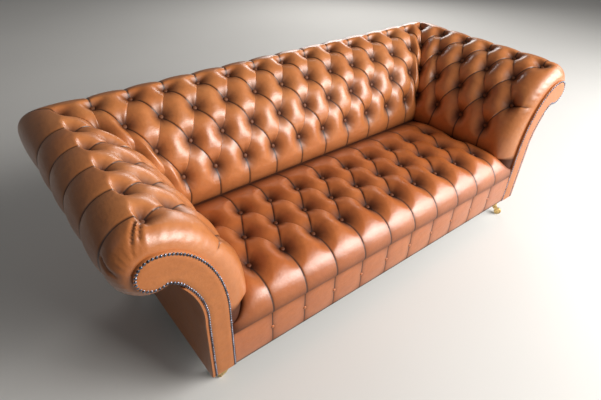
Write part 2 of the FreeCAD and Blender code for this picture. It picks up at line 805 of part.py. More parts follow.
def outer_arm_cover(side):
    """Plain outside of an arm, from the front plane to the corner mitre."""
    near = cover_profile(lambda out, z: Vector(side * (half_seat + out), front, z))
    far = cover_profile(lambda out, z: Vector(side * (half_seat + out), crease + out - mitre_gap,
                                              z))
    return Part.makeLoft([near, far], True, True)


def outer_back_cover():
    """Plain outside of the back, from mitre to mitre."""
    ends = []
    for side in (-1, 1):
        ends.append(cover_profile(lambda out, z: Vector(side * (half_seat + out - mitre_gap),
                                                        crease + out + gap, z)))
    return Part.makeLoft(ends, True, True)


feature("outer_arm_cover_left", outer_arm_cover(-1))
feature("outer_arm_cover_right", outer_arm_cover(1))
feature("outer_back_cover", outer_back_cover())

for side, hand in ((-1, "left"), (1, "right")):
    label = "facing_" + hand
    panel = scroll_body(label, 0.0, 0.0, size("base_height"), "sizes.front_thickness")
    place_scroll(panel, label, side, "0 * sizes.gap", "sizes.front_thickness")


# Nails and buttons

def ring(place, radius, count, height):
    """Corners of a regular polygon at a height over a place frame (origin, two axes, normal)."""
    origin, across, up, normal = place
    corners = []
    for index in range(count):
        angle = 2 * math.pi * index / count
        flat = across * (radius * math.cos(angle)) + up * (radius * math.sin(angle))
        corners.append(origin + flat + normal * height)
    return corners


def between(low, high):
    """Flat sides between two rings, or between a ring and a single point."""
    faces = []
    for index in range(len(low)):
        after = (index + 1) % len(low)
        if len(high) == 1:
            faces.append(polygon_face([low[index], low[after], high[0]]))
        else:
            faces.append(polygon_face([low[index], low[after], high[after], high[index]]))
    return faces


def frame_at(origin, normal):
    """A place frame on a point, with its normal."""
    normal = Vector(normal)
    normal.normalize()
    helper = Vector(0, 0, 1) if abs(normal.z) < 0.9 else Vector(1, 0, 0)
    across = helper.cross(normal)
    across.normalize()
    return origin, across, normal.cross(across), normal


def covered_button(origin, normal, radius, height):
    """A leather-covered button: a shallow cone that seats in its pit, under a low dome."""
    place = frame_at(origin, normal)
    belly = ring(place, radius, BUTTON_SIDES, height * 0.75)
    crown = ring(place, radius * 0.55, BUTTON_SIDES, height)
    tip = [origin + place[3] * gap]
    faces = between(belly, tip) + between(belly, crown) + [polygon_face(crown)]
    return closed_solid(faces)


def nail(origin, radius, height):
    """A nail head on the facing, its point towards the front."""
    place = frame_at(origin, Vector(0, -1, 0))
    foot = ring(place, radius, NAIL_SIDES, 0)
    return closed_solid(between(foot, [origin + place[3] * height]) + [polygon_face(foot)])


def facing_nails(side):
    """One row of nails all round the facing, from its inner foot to its outer foot."""
    margin = size("nail_margin")
    run = scroll_run(margin, -margin, size("base_height") + margin)
    wire = Part.Wire(Part.__sortEdges__([piece.toShape() for piece in run]))
    count = int(round(wire.Length / size("nail_pitch"))) + 1
    heads = []
    for point in wire.discretize(Number=count):
        origin = Vector(side * (half_seat + point.x), front, point.y)
        heads.append(nail(origin, size("nail_radius"), size("nail_height")))
    return Part.makeCompound(heads)


def roll_normal(row):
    """Outward (out, height) direction of the leather at a row."""
    low, high = roll_point(row, 0), roll_point(row, 1)
    return high[0] - low[0], high[1] - low[1]


def back_buttons():
    """Buttons of the back and of the two corner seams."""
    pitch = button_pitch / 2
    made = []
    for row in range(1, ROWS + 1):
        out, height = roll_point(row, 0)
        normal = roll_normal(row)
        inner = BACK_HALF_STEPS + row - 2
        for step in range(-inner, inner + 1, 2):
            origin = Vector(step * pitch, crease + gap + out, height)
            made.append(covered_button(origin, Vector(0, normal[0], normal[1]),
                                       size("button_radius"), size("button_height")))
        for side in (-1, 1):
            away = Vector(side * normal[0], normal[0], normal[1])
            away.normalize()
            origin = Vector(side * (half_seat + out), crease + out, height)
            origin += away * CORNER_LIFT[row - 1]
            made.append(covered_button(origin, away,
                                       size("corner_button_radius"), size("button_height")))
    return Part.makeCompound(made)


def arm_buttons(side):
    """Buttons of one arm."""
    pitch = size("arm_button_pitch") / 2
    made = []
    for row in range(1, ROWS + 1):
        out, height = roll_point(row, 0)
        normal = roll_normal(row)
        for step in range(row % 2, ARM_HALF_STEPS + row - 1, 2):
            depth = size("arm_first_button") + step * pitch
            origin = Vector(side * (half_seat + out), front + depth, height)
            made.append(covered_button(origin, Vector(side * normal[0], 0, normal[1]),
                                       size("button_radius"), size("button_height")))
    return Part.makeCompound(made)


def seat_buttons():
    """Buttons of the seat, row by row."""
    made = []
    for row in range(1, SEAT_ROWS + 1):
        depth = size("seat_first_row") + (row - 1) * size("seat_row_pitch")
        inner = SEAT_HALF_STEPS - 2 + row % 2
        for step in range(-inner, inner + 1, 2):
            origin = seat_point(step, depth, row)
            made.append(covered_button(origin, Vector(0, 0, 1),
                                       size("button_radius"), size("button_height")))
    return Part.makeCompound(made)


def border_buttons():
    """A small button half way up each pleat of the front border."""
    middle = (size("base_height") + size("seam_height") - gap) / 2
    made = []
    for step in range(1 - SEAT_HALF_STEPS, SEAT_HALF_STEPS, 2):
        origin = Vector(step * button_pitch / 2, front + size("border_rise"), middle)
        made.append(covered_button(origin, Vector(0, -1, 0), size("border_button_radius"),
                                   size("border_rise")))
    return Part.makeCompound(made)


feature("facing_nails_left", facing_nails(-1))
feature("facing_nails_right", facing_nails(1))
feature("seat_buttons", seat_buttons())
feature("back_buttons", back_buttons())
feature("arm_buttons_left", arm_buttons(-1))
feature("arm_buttons_right", arm_buttons(1))
feature("border_buttons", border_buttons())


# Feet and castors

def square(height, half_width):
    """Corners of a level square about the foot's axis."""
    return [Vector(a * half_width, b * half_width, height)
            for a, b in ((-1, -1), (1, -1), (1, 1), (-1, 1))]


def leg(label):
    """A short square block leg that tapers a little towards its castor plate."""
    top = square(size("base_height"), size("leg_width") / 2)
    foot = square(size("plate_height"), size("leg_width") / 2 - size("leg_taper"))
    piece = doc.addObject("Part::Feature", label)
    piece.Shape = closed_solid(between(foot, top) + [polygon_face(foot), polygon_face(top)])
    return piece


def plate(label):
    """A brass castor plate: a square flange on the leg and a boss with the stem's bore."""
    body = doc.addObject("PartDesign::Body", label)
    half = size("plate_width") / 2
    flange = sketch_on(body, label + "_flange", "XY_Plane",
                       segments([(-half, -half), (half, -half), (half, half), (-half, half)]))
    flange.AttachmentOffset = FreeCAD.Placement(Vector(0, 0, size("plate_height")),
                                                FreeCAD.Rotation())
    slab = body.newObject("PartDesign::Pad", label + "_slab")
    slab.Profile = flange
    slab.Reversed = True
    bind(slab, Length="sizes.plate_thickness")
    doc.recompute()
    top = size("plate_height") - size("plate_thickness")
    base = size("boss_height")
    bore = size("stem_radius") + size("running_gap")
    bore_top = base + size("stem_length") + gap
    section = sketch_on(body, label + "_boss", "XZ_Plane",
                        segments([(0, bore_top), (0, top), (size("boss_radius"), top),
                                  (size("boss_radius"), base), (bore, base), (bore, bore_top)]))
    boss = body.newObject("PartDesign::Revolution", label + "_turned")
    boss.Profile = section
    boss.ReferenceAxis = (section, ["V_Axis"])
    boss.Angle = 360
    doc.recompute()
    return body


def tangent(start, centre, radius, side):
    """Where a line from start touches a circle, on its upper (1) or lower (-1) side."""
    reach = math.hypot(start[0] - centre[0], start[1] - centre[1])
    back = math.degrees(math.atan2(start[1] - centre[1], start[0] - centre[0]))
    return point_on(centre, radius, back - side * math.degrees(math.acos(radius / reach)))


def horn(label):
    """A brass horn: stem, collar and two cheeks that trail back to the axle."""
    body = doc.addObject("PartDesign::Body", label)
    top = size("boss_height") - gap
    collar = size("collar_radius")
    low = top - size("collar_height")
    trail, boss = size("castor_trail"), size("horn_boss")
    axle_height = size("wheel_radius")
    under = tangent((-collar, low), (trail, axle_height), boss, -1)
    over = tangent((collar, top), (trail, axle_height), boss, 1)
    outer = point_on((trail, axle_height), boss, -20)
    edges = [line((-collar, top), (collar, top)), line((collar, top), over),
             arc(over, outer, under), line(under, (-collar, low)), line((-collar, low), (-collar, top))]
    sketch = sketch_on(body, label + "_side", "XZ_Plane", edges)
    slab = body.newObject("PartDesign::Pad", label + "_slab")
    slab.Profile = sketch
    slab.Midplane = True
    bind(slab, Length="sizes.horn_width")
    doc.recompute()
    slot_top = low - 2.0
    slot = sketch_on(body, label + "_slot", "XZ_Plane",
                     segments([(-2 * collar, -collar), (3 * trail, -collar), (3 * trail, slot_top),
                               (-2 * collar, slot_top)]))
    fork = body.newObject("PartDesign::Pocket", label + "_fork")
    fork.Profile = slot
    fork.Midplane = True
    bind(fork, Length="sizes.horn_width - 2 * sizes.horn_cheek")
    doc.recompute()
    eye = body.newObject("Sketcher::SketchObject", label + "_eye")
    eye.AttachmentSupport = [(origin_plane(body, "XZ_Plane"), "")]
    eye.MapMode = "FlatFace"
    hole = size("axle_radius") + size("running_gap")
    eye.addGeometry(Part.Circle(Vector(trail, axle_height, 0), Vector(0, 0, 1), hole), False)
    bore = body.newObject("PartDesign::Pocket", label + "_bore")
    bore.Profile = eye
    bore.Midplane = True
    bind(bore, Length="2 * sizes.horn_width")
    doc.recompute()
    stem_sketch = sketch_on(body, label + "_stem", "XZ_Plane",
                            segments([(0, low), (size("stem_radius"), low),
                                      (size("stem_radius"), top + size("stem_length")),
                                      (0, top + size("stem_length"))]))
    stem = body.newObject("PartDesign::Revolution", label + "_pin")
    stem.Profile = stem_sketch
    stem.ReferenceAxis = (stem_sketch, ["V_Axis"])
    stem.Angle = 360
    doc.recompute()
    return body


def across_axle(label, points):
    """A body turned about the castor's axle, from (radius, along) points."""
    body = doc.addObject("PartDesign::Body", label)
    trail, height = size("castor_trail"), size("wheel_radius")
    shifted = [(along, radius) for radius, along in points]
    sketch = body.newObject("Sketcher::SketchObject", label + "_section")
    sketch.AttachmentSupport = [(origin_plane(body, "YZ_Plane"), "")]
    sketch.MapMode = "FlatFace"
    sketch.AttachmentOffset = FreeCAD.Placement(Vector(0, height, trail), FreeCAD.Rotation())
    for edge in segments(shifted):
        sketch.addGeometry(edge, False)
    turned = body.newObject("PartDesign::Revolution", label + "_turned")
    turned.Profile = sketch
    turned.ReferenceAxis = (sketch, ["H_Axis"])
    turned.Angle = 360
    doc.recompute()
    return body


def wheel(label):
    """A solid brass wheel with its bore."""
    radius, half = size("wheel_radius"), size("wheel_width") / 2
    bore = size("axle_radius") + size("running_gap")
    return across_axle(label, [(bore, -half), (radius, -half), (radius, half), (bore, half)])


def axle(label):
    """A riveted pin through both cheeks."""
    end = size("horn_width") / 2 + size("axle_end")
    shank = size("axle_radius")
    return across_axle(label, [(0, -end), (shank, -end), (shank, end), (0, end)])


for name, across, depth in feet():
    for kind, make, turn in (("leg", leg, 0), ("castor_plate", plate, 0),
                             ("castor_horn", horn, CASTOR_TURN[name]),
                             ("castor_axle", axle, CASTOR_TURN[name]),
                             ("castor_wheel", wheel, CASTOR_TURN[name])):
        label = kind + "_" + name
        piece = make(label)
        piece.Placement.Base = Vector(across, depth, 0)
        keep(piece, label, turn)


# Check every object, then write one file for each piece

doc.recompute()
for item in doc.Objects:
    if "Invalid" in item.State or "Error" in item.State:
        raise RuntimeError("%s did not compute: %s" % (item.Label, item.State))
for piece in nodes:
    if piece.Shape.isNull() or not piece.Shape.isValid():
        raise RuntimeError("%s has no valid shape" % piece.Label)

os.makedirs("parts", exist_ok=True)
for piece in nodes:
    piece.Shape.exportStep("parts/%s.step" % piece.Label)
print("%d nodes" % len(nodes))
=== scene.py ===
import math

import bpy
import numpy as np
from mathutils import Matrix


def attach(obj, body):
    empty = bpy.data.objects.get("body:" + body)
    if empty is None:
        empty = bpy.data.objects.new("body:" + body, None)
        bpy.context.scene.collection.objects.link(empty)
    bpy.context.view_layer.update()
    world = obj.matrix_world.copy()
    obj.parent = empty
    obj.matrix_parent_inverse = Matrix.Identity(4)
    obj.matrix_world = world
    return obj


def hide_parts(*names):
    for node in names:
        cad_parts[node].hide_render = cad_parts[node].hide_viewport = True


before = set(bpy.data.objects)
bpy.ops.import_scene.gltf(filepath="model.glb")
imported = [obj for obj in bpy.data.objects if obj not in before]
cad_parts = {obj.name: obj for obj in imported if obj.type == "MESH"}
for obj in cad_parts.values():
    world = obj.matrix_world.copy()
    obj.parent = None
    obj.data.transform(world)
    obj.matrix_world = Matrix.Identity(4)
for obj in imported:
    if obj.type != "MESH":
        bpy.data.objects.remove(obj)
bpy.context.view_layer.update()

# Sizes in millimetres, the same as in the construction

HALF_SEAT = 708.5
SEAT_DEPTH = 572.0
FRONT = -473.3
CREASE_LINE = FRONT + SEAT_DEPTH
SEAT_LINE = 357.0
SEAT_FRONT_HEIGHT = 372.0
SEAT_REAR_HEIGHT = 353.0
SEAM_HEIGHT = 264.0
PAD_FOOT = 232.3
BASE_HEIGHT = 112.0
PITCH = 70.0
ARM_PITCH = 71.0
ARM_FIRST = 98.0
SEAT_FIRST_ROW = 140.0
SEAT_ROW_PITCH = 138.5
RISE = 30.0
ROW_ANGLE = math.radians(18.85)
ROW_PITCH = 128.0         # between two rows of buttons, along the leather
ROWS = 4
ROLL_STEPS = 10
ROLL_START = math.radians(100.0)
ROLL_END = math.radians(-118.0)
ROLL_CENTRE = (262.0, 658.0)
ROLL_RADIUS = 86.0
SCROLL_CENTRE = (268.0, 647.5)
SCROLL_RADIUS = 56.5
FACING_OUT = 72.0
FACING_SPRING = 390.0
SHANK = (152.0, 374.0)
SHOULDER = (198.0, 555.0)
PAD_WALL = 12.0
FACING_THICKNESS = 10.0
COVER_THICKNESS = 10.0
GAP = 0.3
MITRE_GAP = 0.2
BACK_STEPS = 10
ARM_STEPS = 6
SEAT_STEPS = 10
SEAT_ROWS = 3
FINE = 20                 # samples between two neighbouring rows or columns of buttons
BOWL = 37.0               # reach of the bowl that a button draws in
CREASE = 0.66             # how far a crease lies above the buttons, as a share of the rise
CHANNEL = 0.72            # the same for a pleat that runs on past the last row
PIT = 0.3                 # depth of a pit below the construction's button level, of the rise
CREASE_SHARP = 0.68       # below 1 the leather rises steeply from a crease
PLEAT_SHARP = 0.5         # the same for a pleat
CROWN_SWELL = 1.19        # gives back what the four bowls take from the middle of a pillow
GATHER = 1.35             # height of the wrinkles round a button
NAIL_PITCH = 10.8
NAIL_MARGIN = 5.0
NECK_BULGE = 16.0         # how far the neck of the scroll bows from its chord
HOOK_BULGE = 6.0          # the same for the short arc under its head
ARM_COVER_LENGTH = 750.0
BACK_COVER_LENGTH = 1700.0
FLOOR_BOUNCE = 0.15       # share of its paleness that the floor throws back as light

last_angle = ROW_ANGLE * ROWS
roll_top = (ROLL_CENTRE[0] + ROLL_RADIUS * math.cos(ROLL_START),
            ROLL_CENTRE[1] + ROLL_RADIUS * math.sin(ROLL_START))
INSIDE_REACH = roll_top[0] / (1 - math.cos(last_angle))
INSIDE_HEIGHT = (roll_top[1] - SEAT_LINE) / math.sin(last_angle)


# Meshes from arrays

def stacked(*parts):
    """Coordinates side by side, each an array or one number for all points."""
    return np.stack(np.broadcast_arrays(*parts), -1)


def mesh_from(name, points, triangles, polygons, values, material, crisp=50):
    """A mesh object from points in millimetres, triangles, a few larger polygons and per-point
    values. Points that fall together are made one, and triangles with no area are dropped."""
    points = np.asarray(points, float).reshape(-1, 3)
    key = np.round(points / 0.002).astype(np.int64)
    _, first, place = np.unique(key, axis=0, return_index=True, return_inverse=True)
    place = place.reshape(-1)
    triangles = place[np.asarray(triangles, np.int64).reshape(-1, 3)]
    real = ((triangles[:, 0] != triangles[:, 1]) & (triangles[:, 1] != triangles[:, 2])
            & (triangles[:, 0] != triangles[:, 2]))
    triangles = triangles[real]
    loops = [triangles.ravel()]
    counts = [np.full(len(triangles), 3)]
    for polygon in polygons:
        ring = place[np.asarray(polygon, np.int64)]
        ring = ring[ring != np.roll(ring, 1)]
        loops.append(ring)
        counts.append(np.array([len(ring)]))
    loops = np.concatenate(loops).astype(np.int32)
    counts = np.concatenate(counts).astype(np.int32)
    starts = np.concatenate([[0], np.cumsum(counts)[:-1]]).astype(np.int32)
    mesh = bpy.data.meshes.new(name)
    mesh.vertices.add(len(first))
    mesh.vertices.foreach_set("co", (points[first] * 0.001).astype(np.float32).ravel())
    mesh.loops.add(len(loops))
    mesh.loops.foreach_set("vertex_index", loops)
    mesh.polygons.add(len(counts))
    mesh.polygons.foreach_set("loop_start", starts)
    mesh.polygons.foreach_set("use_smooth", np.ones(len(counts), bool))
    mesh.update(calc_edges=True)
    mesh.validate()
    for label, value in values.items():
        kept = np.broadcast_to(value, (len(points),)) if np.ndim(value) == 0 else np.ravel(value)
        layer = mesh.attributes.new(label, "FLOAT", "POINT")
        layer.data.foreach_set("value", kept[first].astype(np.float32))
    mesh.set_sharp_from_angle(angle=math.radians(crisp))
    mesh.materials.append(material)
    piece = bpy.data.objects.new(name, mesh)
    bpy.context.scene.collection.objects.link(piece)
    return piece


def grid_triangles(rows, columns, slant=None, around=False):
    """Triangles of a grid of points. slant is true where a cell is cut from its low right corner
    to its high left one; around also joins the last row to the first."""
    high = rows if around else rows - 1
    i, j = np.meshgrid(np.arange(high), np.arange(columns - 1), indexing="ij")
    up = (i + 1) % rows
    low_left = i * columns + j
    low_right = low_left + 1
    high_left = up * columns + j
    high_right = high_left + 1
    if slant is None:
        slant = np.zeros(low_left.shape, bool)
    one = np.where(slant[..., None], np.stack([low_left, low_right, high_left], -1),
                   np.stack([low_left, low_right, high_right], -1))
    two = np.where(slant[..., None], np.stack([low_right, high_right, high_left], -1),
                   np.stack([low_left, high_right, high_left], -1))
    return np.concatenate([one.reshape(-1, 3), two.reshape(-1, 3)])


def crease_slant(steps, rows, first, last):
    """Cells are cut along the nearer of the two families of creases."""
    middle_step = (steps[:-1] + steps[1:])[None, :] / 2
    middle_row = np.clip((rows[:-1] + rows[1:])[:, None] / 2, first, last)
    one = (middle_step + middle_row) / 2
    two = (middle_step - middle_row) / 2
    return np.abs(one - np.round(one)) < np.abs(two - np.round(two))


# Deep-buttoned leather

def wave(share, sharp, lean=0.0):
    """0 at whole numbers and 1 half way. With lean above 0 it rises more steeply just past each
    whole number and more gently before the next, as the leather does where one side of a pleat
    lies over the other."""
    part = share - np.floor(share)
    return np.sin(np.pi * part) ** (sharp * (1 - 0.5 * lean * np.cos(np.pi * part)))


def around_buttons(steps, row, first, last, across, along):
    """For each of the four lattice points round a place: its sideways and upward distance in
    millimetres, and its place in the two diagonal families. One with no button lies far off."""
    one = np.floor((steps + row) / 2)
    two = np.floor((steps - row) / 2)
    for first_family in (one, one + 1):
        for second_family in (two, two + 1):
            button_row = first_family - second_family
            absent = (button_row < first) | (button_row > last)
            sideways = (steps - first_family - second_family) * across
            upward = (row - button_row) * along + absent * 1e4
            yield sideways, upward, first_family, second_family


def tuft(steps, row, first, last, across, along, lean):
    """Height of the leather over a button and under a crown, from 0 to 1.

    Buttons stand where steps + row is even. Each of the four nearest buttons draws in a round
    bowl, the product of the two diagonal waves swells every diamond a little above its
    creases, and before the first and after the last row each crease runs straight on as a
    narrow shallow pleat."""
    line_row = np.clip(row, first, last)
    one = wave((steps + line_row) / 2, CREASE_SHARP, lean)
    two = wave((steps - line_row) / 2, CREASE_SHARP, -lean)
    bowl = CROWN_SWELL
    for sideways, upward, _, _ in around_buttons(
            steps, row, first, last, across, along):
        away = np.hypot(sideways, upward * 0.85)
        bowl = bowl * (1 - np.exp(-(away / BOWL) ** 1.4))
    bowl = np.minimum(bowl, CROWN_SWELL) * (1 + PIT) - PIT
    ridge = CREASE + (1 - CREASE) * one * two
    beyond = np.minimum(1.0, 2 * np.abs(row - line_row)) ** 0.7
    narrow = CHANNEL + (1 - CHANNEL) * wave((steps + line_row) / 2, PLEAT_SHARP)
    ridge = ridge + (narrow - ridge) * beyond
    bowl = bowl - beyond * np.maximum(bowl - 1.0, 0)
    return np.where(bowl > 0, bowl * ridge, bowl)


def crease_shadow_line(steps, row, first, last, across, along, lean):
    """1 on a crease, fading to 0 within about two millimetres on its upper side and four on
    the side that dives under: where the painted shadow line of each crease lies."""
    line_row = np.clip(row, first, last)
    spread = 2 / math.hypot(1 / across, 1 / along)
    one = (steps + line_row) / 2
    two = (steps - line_row) / 2
    one = (one - np.round(one)) * lean * spread
    two = (np.round(two) - two) * lean * spread
    one = np.exp(-(np.where(one < 0, -one / 1.6, one) / 2.2) ** 2)
    two = np.exp(-(np.where(two < 0, -two / 1.6, two) / 2.2) ** 2)
    strong, weak = (one, two) if lean > 0 else (two, one)
    beyond = np.minimum(1.0, 3 * np.abs(row - line_row))
    return np.maximum(strong, weak * (0.45 + 0.55 * beyond))


def gathers(steps, row, first, last, across, along):
    """Small wrinkles in millimetres that run out from each button and die away."""
    total = 0.0
    for sideways, upward, one, two in around_buttons(steps, row, first, last, across, along):
        away = np.hypot(sideways, upward)
        turn = np.arctan2(upward, sideways)
        shift = 2.1 * one + 3.7 * two
        ripples = np.sin(9 * turn + shift) + 0.6 * np.sin(14 * turn - 1.7 * shift)
        total = total + ripples * np.exp(-away / 22) * np.clip(away / 12, 0, 1)
    return total


def roll_point(row, height):
    """(out, height) of the leather of an arm or the back at a row, height times the rise proud:
    straight up to the seat line, a quarter ellipse up to the last row, a circle round the roll."""
    angle = ROW_ANGLE * np.clip(row, 0, ROWS)
    across = -INSIDE_HEIGHT * np.cos(angle)
    up = INSIDE_REACH * np.sin(angle)
    length = np.hypot(across, up)
    out = INSIDE_REACH * (1 - np.cos(angle)) + across / length * RISE * height
    high = SEAT_LINE + INSIDE_HEIGHT * np.sin(angle) + up / length * RISE * height
    turn = ROLL_START - (ROLL_START - ROLL_END) / ROLL_STEPS * (row - ROWS)
    radius = ROLL_RADIUS + RISE * height
    out = np.where(row > ROWS, ROLL_CENTRE[0] + radius * np.cos(turn), out)
    high = np.where(row > ROWS, ROLL_CENTRE[1] + radius * np.sin(turn), high)
    out = np.where(row <= 0, 0.0 * height, out)
    high = np.where(row <= 0, SEAT_LINE - row * (PAD_FOOT - SEAT_LINE) + 0.0 * height, high)
    return out, high


def roll_height(steps, row):
    """Tuft height on an arm or the back, drawn in to nothing at the seat line and full at the
    end of the roll."""
    height = tuft(steps, row, 1, ROWS, PITCH, ROW_PITCH, 1.0)
    height = height * np.where(row < 1, np.sqrt(np.clip(row, 0, 1)), 1.0)
    ripple = gathers(steps, row, 1, ROWS, PITCH, ROW_PITCH) / RISE * GATHER
    height = height + ripple * (row > 0) * (row < ROWS + 2)
    ending = np.clip((row - ROWS - ROLL_STEPS + 1.5) / 1.5, 0, 1)
    height = height + (1 - height) * ending
    return np.where(row <= 0, 0.0, height)


def scroll_curve(inset, angle):
    """(out, height) on the quarter ellipse that leads the scroll's inner side from the spring
    line to the top of its head."""
    reach = SCROLL_CENTRE[0] - FACING_OUT - inset
    high = SCROLL_CENTRE[1] + SCROLL_RADIUS - inset - FACING_SPRING
    return SCROLL_CENTRE[0] - reach * np.cos(angle), FACING_SPRING + high * np.sin(angle)


def scroll_points(inset):
    """(out, height) corners of the hollow scroll inside a pad, foot to under the roll."""
    out, up = scroll_curve(inset, np.radians([0, 22.5, 45, 67.5]))
    turn = np.radians([90, 38, -14, -66, -118])
    radius = SCROLL_RADIUS - inset
    out = np.concatenate([[FACING_OUT + inset], out, SCROLL_CENTRE[0] + radius * np.cos(turn)])
    up = np.concatenate([[PAD_FOOT], up, SCROLL_CENTRE[1] + radius * np.sin(turn)])
    return out, up


ROLL_ROWS = np.concatenate([[-1.0, -0.5], np.linspace(0, ROWS, ROWS * FINE + 1),
                            np.linspace(ROWS, ROWS + ROLL_STEPS, 81)[1:]])


def shell_piece(name, surface, hollow, slant, values, material):
    """A padded shell: the buttoned surface, closed underneath by the hollow's few rows, and by
    one flat polygon at each end."""
    points = np.concatenate([surface, hollow[::-1]], 0)
    rows, columns = points.shape[:2]
    full = np.zeros((rows, columns - 1), bool)
    full[:slant.shape[0]] = slant
    triangles = grid_triangles(rows, columns, full, around=True)
    first = np.arange(rows) * columns
    last = first + columns - 1
    padded = {}
    for label, value in values.items():
        whole = np.ones((rows, columns)) if label == "hollow" else np.zeros((rows, columns))
        whole[:value.shape[0]] = value
        padded[label] = whole
    return mesh_from(name, points, triangles, [first, last[::-1]], padded, material)


def up_to_mitre(step, limit, first, pitch, corner):
    """Millimetres along an arm or the back at a step: a pitch apart, but with the last two
    columns spread evenly up to the corner's mitre."""
    inner = first + (limit - 2) * pitch
    return np.where(step > limit - 2, inner + (corner - inner) * (step - limit + 2) / 2,
                    first + step * pitch)


def back_leather(material):
    """The buttoned back between its two corner mitres, each along a diagonal of buttons."""
    row = ROLL_ROWS[:, None]
    steps = np.linspace(-BACK_STEPS - ROWS, BACK_STEPS + ROWS, 2 * (BACK_STEPS + ROWS) * FINE + 1)
    limit = BACK_STEPS + np.clip(row, 0, ROWS)
    held = np.clip(steps[None, :], -limit, limit)
    height = roll_height(held, row)
    out, high = roll_point(row, height)
    across = up_to_mitre(np.abs(held), limit, 0, PITCH, HALF_SEAT + out - MITRE_GAP)
    surface = stacked(np.copysign(across, held), CREASE_LINE + GAP + out, high)
    out, up = scroll_points(PAD_WALL)
    share = np.linspace(-1, 1, len(steps))[None, :]
    hollow = stacked((HALF_SEAT + out[:, None] - MITRE_GAP) * share,
                     CREASE_LINE + GAP + out[:, None], up[:, None])
    # Painted shade: the colour follows the tuft height, darkest in the bowls and down at the seat
    # crease, and a painted shadow line runs along each crease.
    values = {"hollow": np.clip(height, 0, 1),
              "fold_shadow": crease_shadow_line(held, row, 1, ROWS, PITCH, ROW_PITCH, 1.0) * (row > 0)}
    return shell_piece("back_leather", surface, hollow, crease_slant(steps, ROLL_ROWS, 1, ROWS),
                       values, material)


def cap_outline(row):
    """(out, height) on the facing's outline where the arm's leather ends."""
    out, up = scroll_curve(0, np.radians(90) * np.clip(row, 0, ROWS) / ROWS)
    turn = np.radians(90) - (np.radians(90) - ROLL_END) * (row - ROWS) / ROLL_STEPS
    out = np.where(row > ROWS, SCROLL_CENTRE[0] + SCROLL_RADIUS * np.cos(turn), out)
    up = np.where(row > ROWS, SCROLL_CENTRE[1] + SCROLL_RADIUS * np.sin(turn), up)
    seat = SEAT_LINE - row * (PAD_FOOT - SEAT_LINE)
    out = np.where(row <= 0, FACING_OUT, out)
    return out, np.where(row <= 0, seat, up)


FACE_DEPTH = FACING_THICKNESS + GAP


def front_pleats(steps, row):
    """1 on the pleats that run on from the front buttons to the facing, falling away within
    about six millimetres to each side: one straight on from the second row, two that spread
    from the button on the roll, and one lower down, under the roll."""
    ahead = np.clip(-steps, 0, 2)
    pleats = np.exp(-((row - 2) * ROW_PITCH / 5) ** 2)
    for start, slope in ((4.05, 0.8), (4.3, 1.2), (7.6, 0.5)):
        pleats = pleats + np.exp(-((row - start - slope * ahead) * 40 / 6) ** 2)
    return np.minimum(pleats, 1) * np.clip(5 * ahead, 0, 1) * np.clip((1.3 - ahead) / 0.4, 0, 1)


def arm_section(depth, steps, row):
    """(out, height, tuft height) of an arm's leather. From the first button forward the
    crown rounds in to the facing's outline along a quarter ellipse, and small gathers run
    out of the nailed edge."""
    height = roll_height(np.maximum(steps, 0.0), row)
    smooth = 0.85 * np.clip(-1.5 * steps, 0, 1) * (row > 0) * (row < ROWS + ROLL_STEPS)
    height = height + (1 - height) * smooth
    height = height - 0.24 * front_pleats(steps, row)
    share = np.clip((depth - FACE_DEPTH) / (ARM_FIRST - FACE_DEPTH), 0, 1)
    rounding = np.sqrt(1 - (1 - share) ** 2)
    crimp = np.sin(row * 17.0) * np.sin(row * 5.3 + 1.0) * np.clip(row - 0.6, 0, 1)
    height = height + crimp * 0.085 * np.exp(-((rounding - 0.42) / 0.26) ** 2)
    out, high = roll_point(row, height)
    cap_out, cap_high = cap_outline(row)
    return (cap_out + (out - cap_out) * rounding, cap_high + (high - cap_high) * rounding,
            height)


def arm_leather(side, hand, material):
    """A buttoned arm from the facing to the corner mitre, on the left (-1) or right (+1)."""
    row = ROLL_ROWS[:, None]
    front_share = 1 - np.cos(np.linspace(0, np.pi / 2, 27)[:-1])
    lead = (FACE_DEPTH + front_share * (ARM_FIRST - FACE_DEPTH) - ARM_FIRST) / ARM_PITCH
    steps = np.concatenate([lead, np.linspace(0, ARM_STEPS + ROWS, (ARM_STEPS + ROWS) * FINE + 1)])
    limit = ARM_STEPS + np.clip(row, 0, ROWS)
    held = np.minimum(steps[None, :], limit)
    depth = ARM_FIRST + held * ARM_PITCH
    out, high, height = arm_section(depth, held, row)
    depth = up_to_mitre(held, limit, ARM_FIRST, ARM_PITCH, SEAT_DEPTH + out - MITRE_GAP)
    surface = stacked(side * (HALF_SEAT + out), FRONT + depth, high)
    out, up = scroll_points(PAD_WALL)
    share = np.linspace(0, 1, len(steps))[None, :]
    far = CREASE_LINE + out[:, None] - MITRE_GAP
    near = FRONT + FACE_DEPTH
    hollow = stacked(side * (HALF_SEAT + out[:, None]), near + (far - near) * share, up[:, None])
    # Painted shade: the colour follows the tuft height, darkest in the bowls, at the seat and in
    # the front pleats; painted shadow lines run along the creases and, ahead of the first button,
    # along the front pleats.
    line = crease_shadow_line(np.maximum(held, 0), row, 1, ROWS, ARM_PITCH, ROW_PITCH, 1.0) * (row > 0)
    line = np.where(held < 0, 0.7 * front_pleats(held, row) ** 3, line)
    values = {"hollow": np.clip(height, 0, 1), "fold_shadow": line}
    slant = crease_slant(steps, ROLL_ROWS, 1, ROWS)
    if side < 0:
        surface, hollow, slant = surface[:, ::-1], hollow[:, ::-1], ~slant[:, ::-1]
        values = {label: value[:, ::-1] for label, value in values.items()}
    return shell_piece("arm_leather_" + hand, surface, hollow, slant, values, material)


def seat_side(depth):
    """Half width of the seat at a depth: it fills the space between the arms."""
    out = arm_section(depth, np.zeros_like(depth), np.zeros_like(depth))[0]
    return HALF_SEAT + out - 3 * GAP


